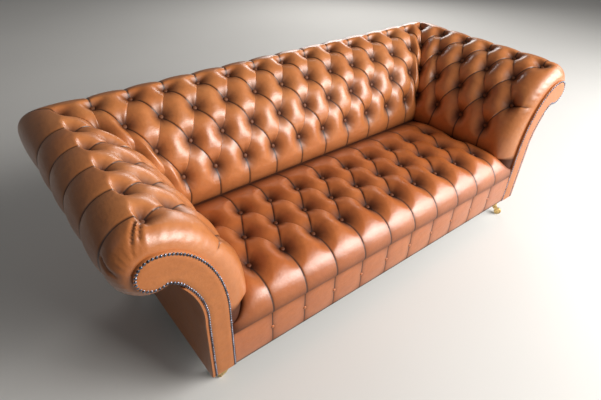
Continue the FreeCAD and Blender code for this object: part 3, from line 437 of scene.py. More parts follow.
def seat_base(depth):
    """(height, normal's depth, normal's height) of the seat's button level: a quarter ellipse
    for the lip, then a gentle straight fall to the back."""
    first = SEAT_FIRST_ROW
    high = SEAT_FRONT_HEIGHT - SEAM_HEIGHT
    across = np.clip(1 - depth / first, 0, 1)
    up = np.sqrt(1 - across ** 2)
    length = np.hypot(across / first, up / high)
    fall = (SEAT_FRONT_HEIGHT - SEAT_REAR_HEIGHT) / (SEAT_DEPTH - first)
    base = np.where(depth < first, SEAM_HEIGHT + high * up,
                    SEAT_FRONT_HEIGHT - fall * (depth - first))
    return base, -across / first / length, up / high / length


def edge_spread(step, width, widest):
    """(share, millimetres) across at a step: a pitch apart as far as a width in steps from the
    last, and from there, with the share going from 0 to 1, out to the widest place."""
    beside = np.clip((np.abs(step) - SEAT_STEPS + width) / width, 0, 1)
    start = (SEAT_STEPS - width) * PITCH
    return beside, np.where(beside > 0, start + (widest - start) * beside, np.abs(step) * PITCH)


def seat_leather(material):
    """The fixed seat: three rows of buttons, pleats over the rounded lip to the seam and back
    to the crease, and edges that tuck down against the arms."""
    rows = np.concatenate([np.linspace(0, 1, 31)[:-1],
                           np.linspace(1, SEAT_ROWS + 1, SEAT_ROWS * FINE + 1)])
    row = rows[:, None]
    steps = np.linspace(-SEAT_STEPS, SEAT_STEPS, 2 * SEAT_STEPS * FINE + 1)
    end = SEAT_DEPTH - GAP
    last = SEAT_FIRST_ROW + (SEAT_ROWS - 1) * SEAT_ROW_PITCH
    depth = np.where(row < 1, SEAT_FIRST_ROW * (1 - np.cos(np.pi / 2 * np.clip(row, 0, 1))),
                     SEAT_FIRST_ROW + (row - 1) * SEAT_ROW_PITCH)
    depth = np.where(row > SEAT_ROWS, last + (end - last) * (row - SEAT_ROWS), depth)
    step = steps[None, :] + 0 * row
    height = tuft(step, row, 1, SEAT_ROWS, PITCH, SEAT_ROW_PITCH, -1.0)
    ripple = gathers(step, row, 1, SEAT_ROWS, PITCH, SEAT_ROW_PITCH) / RISE * GATHER
    height = height + ripple * np.clip(3 * row - 1.5, 0, 1)
    height = height * np.where(row < 1, np.sin(np.pi / 2 * np.clip(row, 0, 1)) ** 0.6, 1)
    height = height * np.where(row > SEAT_ROWS, 1 - np.clip(row - SEAT_ROWS, 0, 1) ** 2, 1)
    beside, across = edge_spread(step, 0.7, seat_side(depth))
    height = height * np.sqrt(1 - beside ** 2)
    base, lean, up = seat_base(depth)
    base = base - beside ** 2 * np.maximum(base - SEAT_LINE + GAP, 0)
    surface = stacked(np.copysign(across, step), FRONT + depth + lean * RISE * height,
                      base + up * RISE * height)
    under_depth = np.array([0.0, FACE_DEPTH, FACE_DEPTH, end])[:, None]
    under_height = np.array([SEAM_HEIGHT, SEAM_HEIGHT, PAD_FOOT, PAD_FOOT])[:, None]
    share = np.linspace(-1, 1, len(steps))[None, :]
    hollow = stacked(seat_side(under_depth) * share, FRONT + under_depth, under_height)
    # Painted shade: the colour follows the tuft height, darkest in the bowls, along the seam under
    # the lip, where the edges tuck down against the arms and at the back crease; a painted shadow
    # line runs along each crease.
    line = crease_shadow_line(step, row, 1, SEAT_ROWS, PITCH, SEAT_ROW_PITCH, -1.0) * (beside < 1)
    values = {"hollow": np.clip(height, 0, 1), "fold_shadow": line}
    return shell_piece("seat_leather", surface, hollow, crease_slant(steps, rows, 1, SEAT_ROWS),
                       values, material)


def border_leather(material):
    """The band below the lip: swollen between its pleats and drawn in at a small button half
    way up each pleat."""
    steps = np.linspace(-SEAT_STEPS, SEAT_STEPS, 2 * SEAT_STEPS * FINE + 1)
    share = np.linspace(0, 1, 33)[:, None]
    step = steps[None, :] + 0 * share
    pleat = wave((step + 1) / 2, PLEAT_SHARP)
    edge = np.sin(np.pi * np.clip(share, 0.0001, 0.9999)) ** 0.35
    sideways = (step - 2 * np.floor(step / 2) - 1) * PITCH
    upward = (share - 0.5) * (SEAM_HEIGHT - BASE_HEIGHT)
    pit = np.exp(-np.hypot(sideways, upward) / 11)
    swell = (0.35 + 0.65 * pleat) * edge - 0.25 * pit
    depth = 5.0 * (1 - swell)
    across = edge_spread(step, 0.5, HALF_SEAT + FACING_OUT - GAP)[1]
    surface = stacked(np.copysign(across, step), FRONT + depth,
                      BASE_HEIGHT + (SEAM_HEIGHT - GAP - BASE_HEIGHT) * share)
    back = FRONT + FACING_THICKNESS
    flat = surface[[0, -1]].copy()
    flat[..., 1] = back
    # Painted shade: the colour follows the swell, darker at the band's top and bottom edges, at
    # its pleats and round its buttons, and a painted shadow line runs down each pleat.
    line = np.exp(-(np.abs((step + 1) / 2 - np.round((step + 1) / 2)) * 140 / 2.4) ** 2)
    line = line * (np.abs(step) < SEAT_STEPS - 0.2)
    values = {"hollow": np.clip(swell, 0, 1), "fold_shadow": line}
    return shell_piece("border_leather", surface, flat,
                       np.zeros((len(share) - 1, len(steps) - 1), bool), values, material)


# Outside covers and facings

def round_head(radius, turn):
    """Points of the scroll's round head at each turn, in radians from straight out."""
    return stacked(SCROLL_CENTRE[0] + radius * np.cos(turn),
                   SCROLL_CENTRE[1] + radius * np.sin(turn))


def arc_points(a, b, bulge, count):
    """Points on a circle arc from a to b, its middle moved sideways by bulge."""
    a, b = np.array(a, float), np.array(b, float)
    chord = b - a
    length = np.hypot(*chord)
    sideways = np.array([-chord[1], chord[0]]) / length
    radius = (length ** 2 / 4 + bulge ** 2) / (2 * abs(bulge))
    half = math.asin(min(1.0, length / 2 / radius))
    angle = np.linspace(-half, half, count)
    along = 0.5 + radius * np.sin(angle) / length
    off = np.sign(bulge) * (radius * np.cos(angle) - radius * math.cos(half))
    return a + along[:, None] * chord + off[:, None] * sideways


def neck_points(shift, count):
    """(out, height) of the outer side of the scroll, foot to shoulder, moved out by shift."""
    foot = np.array([[SHANK[0] + shift, BASE_HEIGHT]])
    straight = foot + np.linspace(0, 1, count)[:, None] * np.array([[0, SHANK[1] - BASE_HEIGHT]])
    flare = arc_points((SHANK[0] + shift, SHANK[1]), (SHOULDER[0] + shift, SHOULDER[1]),
                       NECK_BULGE, count)
    return np.concatenate([straight, flare[1:]])


def cover_leather(name, place, length, material):
    """A plain outside cover: its section is the neck of the scroll, a thickness deep, carried
    along the side. Its front edge is rounded over and its face has a faint slack wave."""
    inner = neck_points(GAP, 24)
    outer = neck_points(GAP + COVER_THICKNESS, 24)
    ring = np.concatenate([inner, outer[::-1]])
    along = np.concatenate([[0, 0.002, 0.006, 0.012], np.linspace(0.02, 0.98, 60), [1.0]])
    out = ring[:, 0][:, None] + 0 * along
    high = ring[:, 1][:, None] + 0 * along
    outside = (np.arange(len(ring)) >= len(inner))[:, None] * 1.0
    round_off = np.clip(1 - along * length / 8, 0, 1) ** 2 * 3.0
    slack = (np.sin(high / 95 + 3 * along) * np.sin(np.pi * along)
             + 0.5 * np.sin(high / 41 + 9 * along)) * 0.9 - 0.9
    fade = np.clip(along * length / 60, 0, 1) * np.clip((1 - along) * length / 60, 0, 1)
    out = out + outside * (slack * fade - round_off)
    points = place(out, high, along[None, :])
    rows, columns = points.shape[:2]
    triangles = grid_triangles(rows, columns, None, around=True)
    first = np.arange(rows) * columns
    return mesh_from(name, points, triangles, [first[::-1], (first + columns - 1)],
                     {"hollow": 1.0, "fold_shadow": 0.0}, material)


def cover_left_right(side, hand, material):
    """The outside cover of one arm, from the front plane to the corner mitre."""
    def place(out, high, along):
        depth = along * (SEAT_DEPTH + out - MITRE_GAP)
        points = stacked(side * (HALF_SEAT + out), FRONT + depth, high)
        return points if side > 0 else points[:, ::-1]
    return cover_leather("outside_" + hand, place, ARM_COVER_LENGTH, material)


def cover_back(material):
    """The outside cover of the back, from mitre to mitre."""
    def place(out, high, along):
        reach = HALF_SEAT + out - MITRE_GAP
        return stacked(reach * (2 * along - 1), CREASE_LINE + out + GAP, high)
    return cover_leather("outside_back", place, BACK_COVER_LENGTH, material)


def facing_sides(inset, count):
    """The two sides of the scroll from foot to tip, point for point: the inner one up the
    shank, round the quarter ellipse and the head; the outer one up the shank, along the neck
    and the short arc under the head, then round the head from below to the same tip."""
    tip = math.radians(-14)
    radius = SCROLL_RADIUS - inset
    share = np.linspace(0, 1, count)
    foot = BASE_HEIGHT + inset
    shank_in = stacked(FACING_OUT + inset, foot + (FACING_SPRING - foot) * share)
    curve_in = stacked(*scroll_curve(inset, np.pi / 2 * share))
    head_in = round_head(radius, np.pi / 2 + (tip - np.pi / 2) * share)
    shank_out = stacked(SHANK[0] - inset, foot + (SHANK[1] - foot) * share)
    flare = arc_points((SHANK[0] - inset, SHANK[1]), (SHOULDER[0] - inset, SHOULDER[1]),
                       NECK_BULGE, count)
    under = round_head(radius, ROLL_END)
    hook = arc_points(flare[-1], under, HOOK_BULGE, count)
    head_out = round_head(radius, ROLL_END + (tip - ROLL_END) * share)
    neck = np.concatenate([flare, hook[1:]])
    part = np.linspace(0, 1, len(neck))
    neck = stacked(np.interp(share, part, neck[:, 0]), np.interp(share, part, neck[:, 1]))
    inner = np.concatenate([shank_in, curve_in[1:], head_in[1:]])
    outer = np.concatenate([shank_out, neck[1:], head_out[1:]])
    return inner, outer


def facing_panel(side, hand, material):
    """The plain scroll panel: ruled from its inner to its outer side, softly crowned inside
    the line of nails and rounded over at its edge."""
    inner, outer = facing_sides(0.0, 44)
    across = (1 - np.cos(np.linspace(0, np.pi, 33))) / 2
    flat = inner[:, None] * (1 - across[None, :, None]) + outer[:, None] * across[None, :, None]
    width = np.hypot(*(outer - inner).T)[:, None]
    edge = np.minimum(across, 1 - across)[None, :] * width
    head = np.minimum(1.0, np.arange(len(inner))[::-1][:, None] / 8.0)
    foot = np.clip(np.arange(len(inner))[:, None] / 3.0, 0, 1)
    edge = edge * head + 6 * (1 - head)
    proud = 2.6 * (1 - np.exp(-np.maximum(edge - 8, 0) / 14)) * foot
    roll = 2.2 * np.clip(1 - edge / 2.5, 0, 1) ** 2
    dip = 0.9 * np.exp(-((edge - NAIL_MARGIN) / 3.0) ** 2)
    depth = roll + dip - np.minimum(proud, 1.6)
    front_face = stacked(side * (HALF_SEAT + flat[..., 0]), FRONT + depth, flat[..., 1])
    back_face = front_face.copy()
    back_face[..., 1] = FRONT + FACING_THICKNESS
    points = np.concatenate([front_face, back_face[:, ::-1]], 1)
    rows, columns = points.shape[:2]
    points = np.concatenate([points, points[:, :1]], 1)
    columns += 1
    if side < 0:
        points = points[:, ::-1]
    triangles = grid_triangles(rows, columns)
    return mesh_from("facing_" + hand + "_leather", points, triangles,
                     [np.arange(columns - 1)[::-1]], {"hollow": 1.0, "fold_shadow": 0.0}, material)


def scroll_line(margin, pitch):
    """Points a pitch apart along the line of nails, foot to foot round the scroll."""
    inner, outer = facing_sides(margin, 200)
    whole = np.concatenate([inner, outer[::-1][1:]])
    length = np.concatenate([[0], np.cumsum(np.hypot(*np.diff(whole, axis=0).T))])
    count = int(round(length[-1] / pitch)) + 1
    at = np.linspace(0, length[-1], count)
    return stacked(np.interp(at, length, whole[:, 0]), np.interp(at, length, whole[:, 1]))


def many(name, profile, sides, origins, normals, material, values=None):
    """Turned pieces, one at each origin: a profile of (radius, height) points spun about each
    normal, closed at its foot and at its tip."""
    profile, origins = np.asarray(profile, float), np.asarray(origins, float)
    normals = np.broadcast_to(normals, origins.shape)
    normals = normals / np.linalg.norm(normals, axis=1, keepdims=True)
    helper = np.where(np.abs(normals[:, 2:]) < 0.9, [[0.0, 0.0, 1.0]], [[1.0, 0.0, 0.0]])
    across = np.cross(helper, normals)
    across /= np.linalg.norm(across, axis=1, keepdims=True)
    up = np.cross(normals, across)
    turn = np.linspace(0, 2 * np.pi, sides + 1)
    ring = (across[:, None, :] * np.cos(turn)[None, :, None]
            + up[:, None, :] * np.sin(turn)[None, :, None])
    points = (origins[:, None, None, :] + ring[:, None] * profile[None, :, 0, None, None]
              + normals[:, None, None, :] * profile[None, :, 1, None, None])
    rows, columns = len(profile), sides + 1
    one = grid_triangles(rows, columns)
    start = np.arange(len(origins))[:, None, None] * rows * columns
    triangles = (one[None] + start).reshape(-1, 3)
    label = values if values is not None else {"hollow": 1.0, "fold_shadow": 0.0}
    return mesh_from(name, points, triangles, [], label, material, crisp=60)


NAIL_PROFILE = [(0, 0), (4.9, 0), (4.7, 0.9), (3.9, 2.1), (2.3, 3.1), (0, 3.5)]
BUTTON_PROFILE = [(0, -8.5), (5, -7.5), (8.4, -5.0), (9.4, -2.6), (8.8, -0.6), (6.8, 1.0),
                  (3.6, 2.0), (0, 2.3)]
BORDER_BUTTON_PROFILE = [(0, -0.5), (5.6, 0.2), (6.8, 2.0), (6.2, 3.9), (3.8, 5.3), (0, 5.8)]
BUTTON_SHADE = {"hollow": 0.12, "fold_shadow": 0.0}


def facing_nails(side, hand, material):
    """Domed nail heads a pitch apart along the edge of the facing."""
    line = scroll_line(NAIL_MARGIN, NAIL_PITCH)
    origins = stacked(side * (HALF_SEAT + line[:, 0]), FRONT + 0.9, line[:, 1])
    return many("nails_" + hand, NAIL_PROFILE, 12, origins, [0.0, -1.0, 0.0], material)


def button_place(row):
    """(out, height) of the buttons of a row on an arm or the back, and the same two of the
    direction in which they face."""
    row = np.asarray(row, float)
    low, high = roll_point(row, 0.0 * row), roll_point(row, 1.0 + 0.0 * row)
    return low[0], low[1], high[0] - low[0], high[1] - low[1]


def lattice(rows, half):
    """(steps, row) of the buttons: every other step of each row, out to half(row)."""
    found = [np.stack([np.arange(-half(r), half(r) + 1, 2), np.full(half(r) + 1, r)], -1)
             for r in rows]
    return np.concatenate(found).astype(float)


def back_button_heads(material):
    """Covered buttons of the back, and one in each corner seam at every row."""
    spots = lattice(range(1, ROWS + 1), lambda r: BACK_STEPS + r - 2)
    out, high, away, up = button_place(spots[:, 1])
    origins = stacked(spots[:, 0] * PITCH, CREASE_LINE + GAP + out, high)
    normals = stacked(0.0, away, up)
    rows = np.tile(np.arange(1.0, ROWS + 1), 2)
    side = np.repeat([-1.0, 1.0], ROWS)
    out, high, away, up = button_place(rows)
    corner = stacked(side * away, away, up)
    corner /= np.linalg.norm(corner, axis=1, keepdims=True)
    spot = stacked(side * (HALF_SEAT + out), CREASE_LINE + out, high)
    spot = spot + corner * (3.0 - 1.5 * (rows[:, None] > 3))
    return many("buttons_back", BUTTON_PROFILE, 16, np.concatenate([origins, spot]),
                np.concatenate([normals, corner]), material, BUTTON_SHADE)


def arm_button_heads(side, hand, material):
    """Covered buttons of one arm."""
    spots = [(step, row) for row in range(1, ROWS + 1)
             for step in range(row % 2, ARM_STEPS + row - 1, 2)]
    spots = np.array(spots, float)
    out, high, away, up = button_place(spots[:, 1])
    depth = ARM_FIRST + spots[:, 0] * ARM_PITCH
    origins = stacked(side * (HALF_SEAT + out), FRONT + depth, high)
    normals = stacked(side * away, 0.0, up)
    return many("buttons_arm_" + hand, BUTTON_PROFILE, 16, origins, normals, material,
                BUTTON_SHADE)


def seat_button_heads(material):
    """Covered buttons of the seat."""
    spots = lattice(range(1, SEAT_ROWS + 1), lambda r: SEAT_STEPS - 2 + r % 2)
    depth = SEAT_FIRST_ROW + (spots[:, 1] - 1) * SEAT_ROW_PITCH
    base = seat_base(depth)[0]
    origins = stacked(spots[:, 0] * PITCH, FRONT + depth, base)
    return many("buttons_seat", BUTTON_PROFILE, 16, origins, [0.0, 0.0, 1.0], material,
                BUTTON_SHADE)


def border_button_heads(material):
    """Small covered buttons, one half way up each pleat of the border."""
    steps = np.arange(-SEAT_STEPS + 1.0, SEAT_STEPS, 2)
    middle = (BASE_HEIGHT + SEAM_HEIGHT) / 2
    origins = stacked(steps * PITCH, FRONT + 5.6, middle)
    return many("buttons_border", BORDER_BUTTON_PROFILE, 16, origins, [0.0, -1.0, 0.0], material)


# Castors. Each is worked out about its own foot, trailing along its first axis, then turned.

TRAIL = 26.0
WHEEL_RADIUS = 17.5
CASTOR_TURN = {"front_left": 111.0, "front_right": -46.0, "rear_left": 160.0, "rear_right": 12.0}
FOOT_OUT = 809.5
FOOT_DEPTH = {"front": FRONT + 42.0, "rear": CREASE_LINE + 100.0}
WHEEL_PROFILE = [(3.1, -5.2), (7.0, -5.4), (7.4, -6.8), (8.8, -6.9), (9.4, -5.4), (13.6, -5.2),
                 (14.6, -6.6), (16.2, -6.9), (17.2, -5.6), (17.5, -3.2), (17.5, 3.2),
                 (17.2, 5.6), (16.2, 6.9), (14.6, 6.6), (13.6, 5.2), (9.4, 5.4), (8.8, 6.9),
                 (7.4, 6.8), (7.0, 5.4), (3.1, 5.2), (3.1, -5.2)]
PIN_PROFILE = [(0, -12.2), (2.6, -12.1), (4.2, -11.6), (4.3, -11.1), (3.0, -11.0), (3.0, 11.0),
               (4.3, 11.1), (4.2, 11.6), (2.6, 12.1), (0, 12.2)]
COLLAR_PROFILE = [(0, 45.5), (8.6, 46.2), (10.6, 48.0), (11.2, 50.6), (10.2, 52.0), (10.2, 53.0),
                  (12.0, 54.4), (12.4, 56.6), (11.4, 58.9), (9.0, 59.6), (5.0, 59.7),
                  (5.0, 75.7), (0, 75.7)]


def foot_place(name):
    """(origin, trailing axis, sideways axis) of a castor."""
    end, hand = name.split("_")
    turn = math.radians(CASTOR_TURN[name])
    origin = np.array([FOOT_OUT * (-1 if hand == "left" else 1), FOOT_DEPTH[end], 0.0])
    return (origin, np.array([math.cos(turn), math.sin(turn), 0.0]),
            np.array([-math.sin(turn), math.cos(turn), 0.0]))


def castor_plate(name, material):
    """A square flange with rounded corners that narrows to a round boss: at each height the
    outline is a superellipse, nearly square at the flange and a circle at the boss."""
    origin = foot_place(name)[0]
    high = np.array([90.0, 90.0, 89.6, 87.6, 87.0, 86.6, 84.0, 80.0, 74.0, 66.0, 61.5, 60.2, 60.0,
                     60.0])
    reach = np.array([0.0, 16.6, 17.5, 17.5, 17.0, 15.6, 13.6, 12.6, 12.2, 12.4, 13.0, 12.6,
                      11.4, 5.1])
    power = np.array([9.0, 9.0, 9.0, 9.0, 9.0, 7.0, 4.0, 2.4, 2.0, 2.0, 2.0, 2.0, 2.0, 2.0])
    turn = np.linspace(0, 2 * np.pi, 41)[None, :]
    spread = (np.abs(np.cos(turn)) ** power[:, None] + np.abs(np.sin(turn)) ** power[:, None])
    radius = reach[:, None] / spread ** (1 / power[:, None])
    points = stacked(origin[0] + radius * np.cos(turn), origin[1] + radius * np.sin(turn),
                     high[:, None])[::-1]
    return mesh_from("plate_" + name, points, grid_triangles(*points.shape[:2]),
                     [], {"hollow": 1.0}, material, crisp=40)


def castor_horn(name, material):
    """A turned collar and stem, and two cheeks that sweep back from it in an S to the axle.
    Each cheek's middle line is a smooth step from the collar to the eye, its half width
    narrows from the collar's to the eye's, and its section is a rounded bar."""
    origin, trail, side = foot_place(name)
    share = np.linspace(0, 1, 22)
    smooth = share * share * (3 - 2 * share)
    along = (TRAIL + 1.0) * (0.35 * share + 0.65 * smooth)
    high = 52.0 + (WHEEL_RADIUS - 52.0) * (0.75 * share + 0.25 * smooth)
    heading = stacked(np.gradient(along), np.gradient(high))
    heading /= np.linalg.norm(heading, axis=1, keepdims=True)
    across = stacked(-heading[:, 1], heading[:, 0])
    half = 10.6 - 5.4 * smooth + 1.4 * np.exp(-((share - 1) / 0.14) ** 2)
    end = np.linspace(0, np.pi / 2, 7)[1:]
    tip = [along[-1], high[-1]] + heading[-1] * (half[-1] * np.sin(end))[:, None]
    middle = np.concatenate([stacked(along, high), tip])
    across = np.concatenate([across, np.tile(across[-1], (len(end), 1))])
    half = np.concatenate([half, half[-1] * np.cos(end)])
    turn = np.linspace(0, 2 * np.pi, 17)
    flat = np.sign(np.cos(turn)) * np.abs(np.cos(turn)) ** 0.6
    thick = np.sign(np.sin(turn)) * np.abs(np.sin(turn)) ** 0.6 * 1.5
    pieces = []
    for cheek in (-1, 1):
        wide = middle[:, None] + across[:, None] * (half[:, None] * flat)[..., None]
        off = cheek * (9.5 + thick)[None, :, None]
        points = origin + wide[..., :1] * trail + off * side + wide[..., 1:] * [0, 0, 1.0]
        if cheek < 0:
            points = points[:, ::-1]
        start = np.repeat(points[:1].mean(1, keepdims=True), points.shape[1], 1)
        pieces.append(np.concatenate([start, points]))
    rows, columns = pieces[0].shape[:2]
    one = grid_triangles(rows, columns)
    profile = np.array(COLLAR_PROFILE)
    ring = np.linspace(0, 2 * np.pi, 33)[None, :]
    collar = stacked(origin[0] + profile[:, :1] * np.cos(ring),
                     origin[1] + profile[:, :1] * np.sin(ring), profile[:, 1:])
    points = np.concatenate([pieces[0].reshape(-1, 3), pieces[1].reshape(-1, 3),
                             collar.reshape(-1, 3)])
    triangles = np.concatenate([one, one + rows * columns,
                                grid_triangles(len(profile), 33) + 2 * rows * columns])
    return mesh_from("horn_" + name, points, triangles, [], {"hollow": 1.0}, material, crisp=40)


def castor_turned(kind, name, profile, material):
    """A piece turned about the castor's axle: the wheel or its pin."""
    origin, trail, side = foot_place(name)
    middle = origin + trail * TRAIL + np.array([0, 0, WHEEL_RADIUS])
    return many(kind + "_" + name, profile, 40, [middle], [side], material, {"hollow": 1.0})


# Finishes

def node_tree(name):
    """A new material with its tree, its output shader and a place to read from."""
    material = bpy.data.materials.new(name)
    material.use_nodes = True
    tree = material.node_tree
    shader = tree.nodes["Principled BSDF"]
    place = tree.nodes.new("ShaderNodeTexCoord")
    return material, tree, shader, place.outputs["Object"]


def noise(tree, place, scale, detail=3.0, rough=0.55, stretch=None):
    """A noise field at a scale per metre, with its pattern stretched along the axes if asked."""
    if stretch is not None:
        mapping = tree.nodes.new("ShaderNodeMapping")
        mapping.inputs["Scale"].default_value = stretch
        tree.links.new(place, mapping.inputs["Vector"])
        place = mapping.outputs["Vector"]
    field = tree.nodes.new("ShaderNodeTexNoise")
    field.inputs["Scale"].default_value = scale
    field.inputs["Detail"].default_value = detail
    field.inputs["Roughness"].default_value = rough
    tree.links.new(place, field.inputs["Vector"])
    return field.outputs["Fac"]


def feed(tree, socket, value):
    """Link another node's socket into a socket, or set a plain number or colour on it."""
    if isinstance(value, bpy.types.NodeSocket):
        tree.links.new(value, socket)
    else:
        socket.default_value = (*value, 1.0) if isinstance(value, tuple) else value


def dimmed(colour, share):
    """A share of a colour."""
    return tuple(v * share for v in colour)


def ranged(tree, value, low, high, to_low, to_high):
    """A value taken from one range to another and held inside it."""
    node = tree.nodes.new("ShaderNodeMapRange")
    for label, number in (("From Min", low), ("From Max", high), ("To Min", to_low),
                          ("To Max", to_high), ("Value", value)):
        feed(tree, node.inputs[label], number)
    return node.outputs["Result"]


def blended(tree, share, one, two):
    """Two colours mixed by a share, each a plain colour or a socket."""
    node = tree.nodes.new("ShaderNodeMix")
    node.data_type = "RGBA"
    for index, value in ((0, share), (6, one), (7, two)):
        feed(tree, node.inputs[index], value)
    return node.outputs[2]


def calculated(tree, how, one, two):
    """A sum, product or other step on two values."""
    node = tree.nodes.new("ShaderNodeMath")
    node.operation = how
    feed(tree, node.inputs[0], one)
    feed(tree, node.inputs[1], two)
    return node.outputs[0]


def raised(tree, shader, height, distance, strength=1.0, under=None):
    """Bump on the shader from a height field, with an earlier bump under it if there is one."""
    node = tree.nodes.new("ShaderNodeBump")
    node.inputs["Distance"].default_value = distance
    node.inputs["Strength"].default_value = strength
    tree.links.new(height, node.inputs["Height"])
    if under is not None:
        tree.links.new(under, node.inputs["Normal"])
    tree.links.new(node.outputs["Normal"], shader.inputs["Normal"])
    return node.outputs["Normal"]


def point_value(tree, name):
    """A per-point value of the piece."""
    node = tree.nodes.new("ShaderNodeAttribute")
    node.attribute_name = name
    return node.outputs["Fac"]


def linear(red, green, blue):
    """A colour given as screen values from 0 to 255, in the linear values a shader takes."""
    scaled = [v / 255 for v in (red, green, blue)]
    return tuple(v / 12.92 if v <= 0.04045 else ((v + 0.055) / 1.055) ** 2.4 for v in scaled)


def polished_leather(name, tan, worn, shade, gloss=0.36, coat=0.75):
    """Waxed pull-up leather: mottled tan, with painted shade that darkens it from the crowns into
    the bowls (partly also their dark patina) and a painted shadow line along each crease,
    with a fine grain and a soft polish that varies from place to place."""
    material, tree, shader, place = node_tree(name)
    cloud = noise(tree, place, 5.0, 4.0, 0.6)
    spots = noise(tree, place, 38.0, 3.0, 0.6)
    fine = noise(tree, place, 260.0, 2.0, 0.5)
    colour = blended(tree, ranged(tree, cloud, 0.3, 0.7, 0.0, 1.0), tan, worn)
    darker = dimmed(tan, 0.84)
    colour = blended(tree, ranged(tree, spots, 0.42, 0.68, 0.0, 0.35), colour, darker)
    # Painted shade: the tan darkens towards the shade colour as the hollow value (the tuft height)
    # falls, deepest in the bowls round the buttons, partly also their dark patina.
    hollow = point_value(tree, "hollow")
    colour = blended(tree, ranged(tree, hollow, 0.0, 0.74, 0.92, 0.0), colour, shade)
    # Painted shadow: a dark line along each crease, strongest on the side that dives under.
    fold_shadow = point_value(tree, "fold_shadow")
    colour = blended(tree, ranged(tree, fold_shadow, 0.15, 0.9, 0.0, 0.9), colour,
                     dimmed(shade, 0.22))
    tree.links.new(colour, shader.inputs["Base Color"])
    grain = tree.nodes.new("ShaderNodeTexVoronoi")
    grain.inputs["Scale"].default_value = 620.0
    tree.links.new(place, grain.inputs["Vector"])
    polish = calculated(tree, "ADD", ranged(tree, cloud, 0.3, 0.7, gloss - 0.05, gloss + 0.05),
                        ranged(tree, fine, 0.3, 0.7, -0.03, 0.04))
    polish = calculated(tree, "ADD", polish, ranged(tree, hollow, 0.0, 0.7, 0.3, 0.0))
    tree.links.new(polish, shader.inputs["Roughness"])
    shader.inputs["IOR"].default_value = 1.5
    tree.links.new(ranged(tree, hollow, 0.12, 0.6, 0.0, coat), shader.inputs["Coat Weight"])
    shader.inputs["Coat Roughness"].default_value = 0.33
    slack = noise(tree, place, 26.0, 3.0, 0.5, (1.0, 1.0, 2.2))
    under = raised(tree, shader, slack, 0.0026, 0.7)
    creased = noise(tree, place, 90.0, 3.0, 0.6)
    under = raised(tree, shader, creased, 0.0009, 0.6, under)
    raised(tree, shader, grain.outputs["Distance"], 0.0002, 0.5, under)
    return material


def turned_brass(name, bright, dull, rough):
    """Old brass: warm metal, duller and browner in patches."""
    material, tree, shader, place = node_tree(name)
    patches = noise(tree, place, 60.0, 5.0, 0.65)
    colour = blended(tree, ranged(tree, patches, 0.42, 0.66, 0.0, 1.0), bright, dull)
    tree.links.new(colour, shader.inputs["Base Color"])
    shader.inputs["Metallic"].default_value = 1.0
    tree.links.new(ranged(tree, patches, 0.35, 0.7, rough, rough + 0.22),
                   shader.inputs["Roughness"])
    scratches = noise(tree, place, 900.0, 2.0, 0.5, (1.0, 1.0, 6.0))
    raised(tree, shader, scratches, 0.0001, 0.4)
    return material


def grained_wood(name, pale, dark, rough, along):
    """Wood with long grain: a stretched noise bent by a slower one."""
    material, tree, shader, place = node_tree(name)
    stretch = tuple(1.0 if index == along else 14.0 for index in range(3))
    rings = noise(tree, place, 4.5, 5.0, 0.6, stretch)
    pores = noise(tree, place, 30.0, 2.0, 0.5, stretch)
    colour = blended(tree, ranged(tree, rings, 0.35, 0.65, 0.0, 1.0), pale, dark)
    colour = blended(tree, ranged(tree, pores, 0.5, 0.7, 0.0, 0.4), colour,
                     dimmed(dark, 0.5))
    tree.links.new(colour, shader.inputs["Base Color"])
    tree.links.new(ranged(tree, rings, 0.3, 0.7, rough, rough + 0.12), shader.inputs["Roughness"])
    raised(tree, shader, pores, 0.0004, 0.5)
    return material


def woven_cloth(name, thread, gaps, pitch, rough=0.85):
    """Plain weave: two crossed sine waves a thread apart, with uneven yarn."""
    material, tree, shader, place = node_tree(name)
    parts = tree.nodes.new("ShaderNodeSeparateXYZ")
    tree.links.new(place, parts.inputs[0])
    waves = []
    for axis in ("X", "Y"):
        turned = calculated(tree, "MULTIPLY", parts.outputs[axis], 2 * math.pi / pitch)
        waves.append(calculated(tree, "SINE", turned, 0.0))
    weave = calculated(tree, "MAXIMUM", waves[0], waves[1])
    uneven = noise(tree, place, 130.0, 3.0, 0.6)
    colour = blended(tree, ranged(tree, weave, -0.4, 0.8, 0.0, 1.0), gaps, thread)
    colour = blended(tree, ranged(tree, uneven, 0.35, 0.7, 0.0, 0.4), colour,
                     dimmed(thread, 0.7))
    tree.links.new(colour, shader.inputs["Base Color"])
    shader.inputs["Roughness"].default_value = rough
    raised(tree, shader, weave, 0.0004, 0.6)
    return material


tan_leather = polished_leather("tan_leather", linear(190, 112, 59), linear(204, 129, 73),
                               linear(62, 23, 6))
# A darker copy of the tan for the seat, lip, border and their buttons: painted shade, as the seat
# is lit less than the back.
shaded_seat_tan = polished_leather("seat_leather", linear(182, 98, 46), linear(196, 112, 55),
                            linear(58, 21, 5))
plain_tan = polished_leather("plain_leather", linear(188, 111, 57), linear(199, 122, 66),
                             linear(96, 38, 14), 0.46, 0.35)
nail_metal = turned_brass("nail_metal", (0.20, 0.21, 0.26), (0.05, 0.05, 0.06), 0.16)
castor_brass = turned_brass("castor_brass", (0.84, 0.60, 0.25), (0.42, 0.27, 0.11), 0.24)
leg_wood = grained_wood("leg_wood", linear(52, 30, 20), linear(30, 17, 12), 0.42, 2)
frame_beech = grained_wood("frame_beech", linear(206, 172, 128), linear(176, 138, 94), 0.6, 0)
jute_web = woven_cloth("jute_web", linear(188, 158, 108), linear(110, 84, 48), 0.004)
deck_hessian = woven_cloth("deck_hessian", linear(196, 170, 122), linear(120, 96, 60), 0.003)
black_lining = woven_cloth("black_lining", linear(30, 29, 29), linear(14, 14, 14), 0.0015)
black_lining.node_tree.nodes["Principled BSDF"].inputs["Roughness"].default_value = 0.95


# Pieces on the sofa

def settle(piece, body, *nodes, slot=None, fill=None):
    """Let a piece ride on its body in place of its CAD nodes."""
    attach(piece, body)
    if nodes:
        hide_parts(*nodes)
    return piece


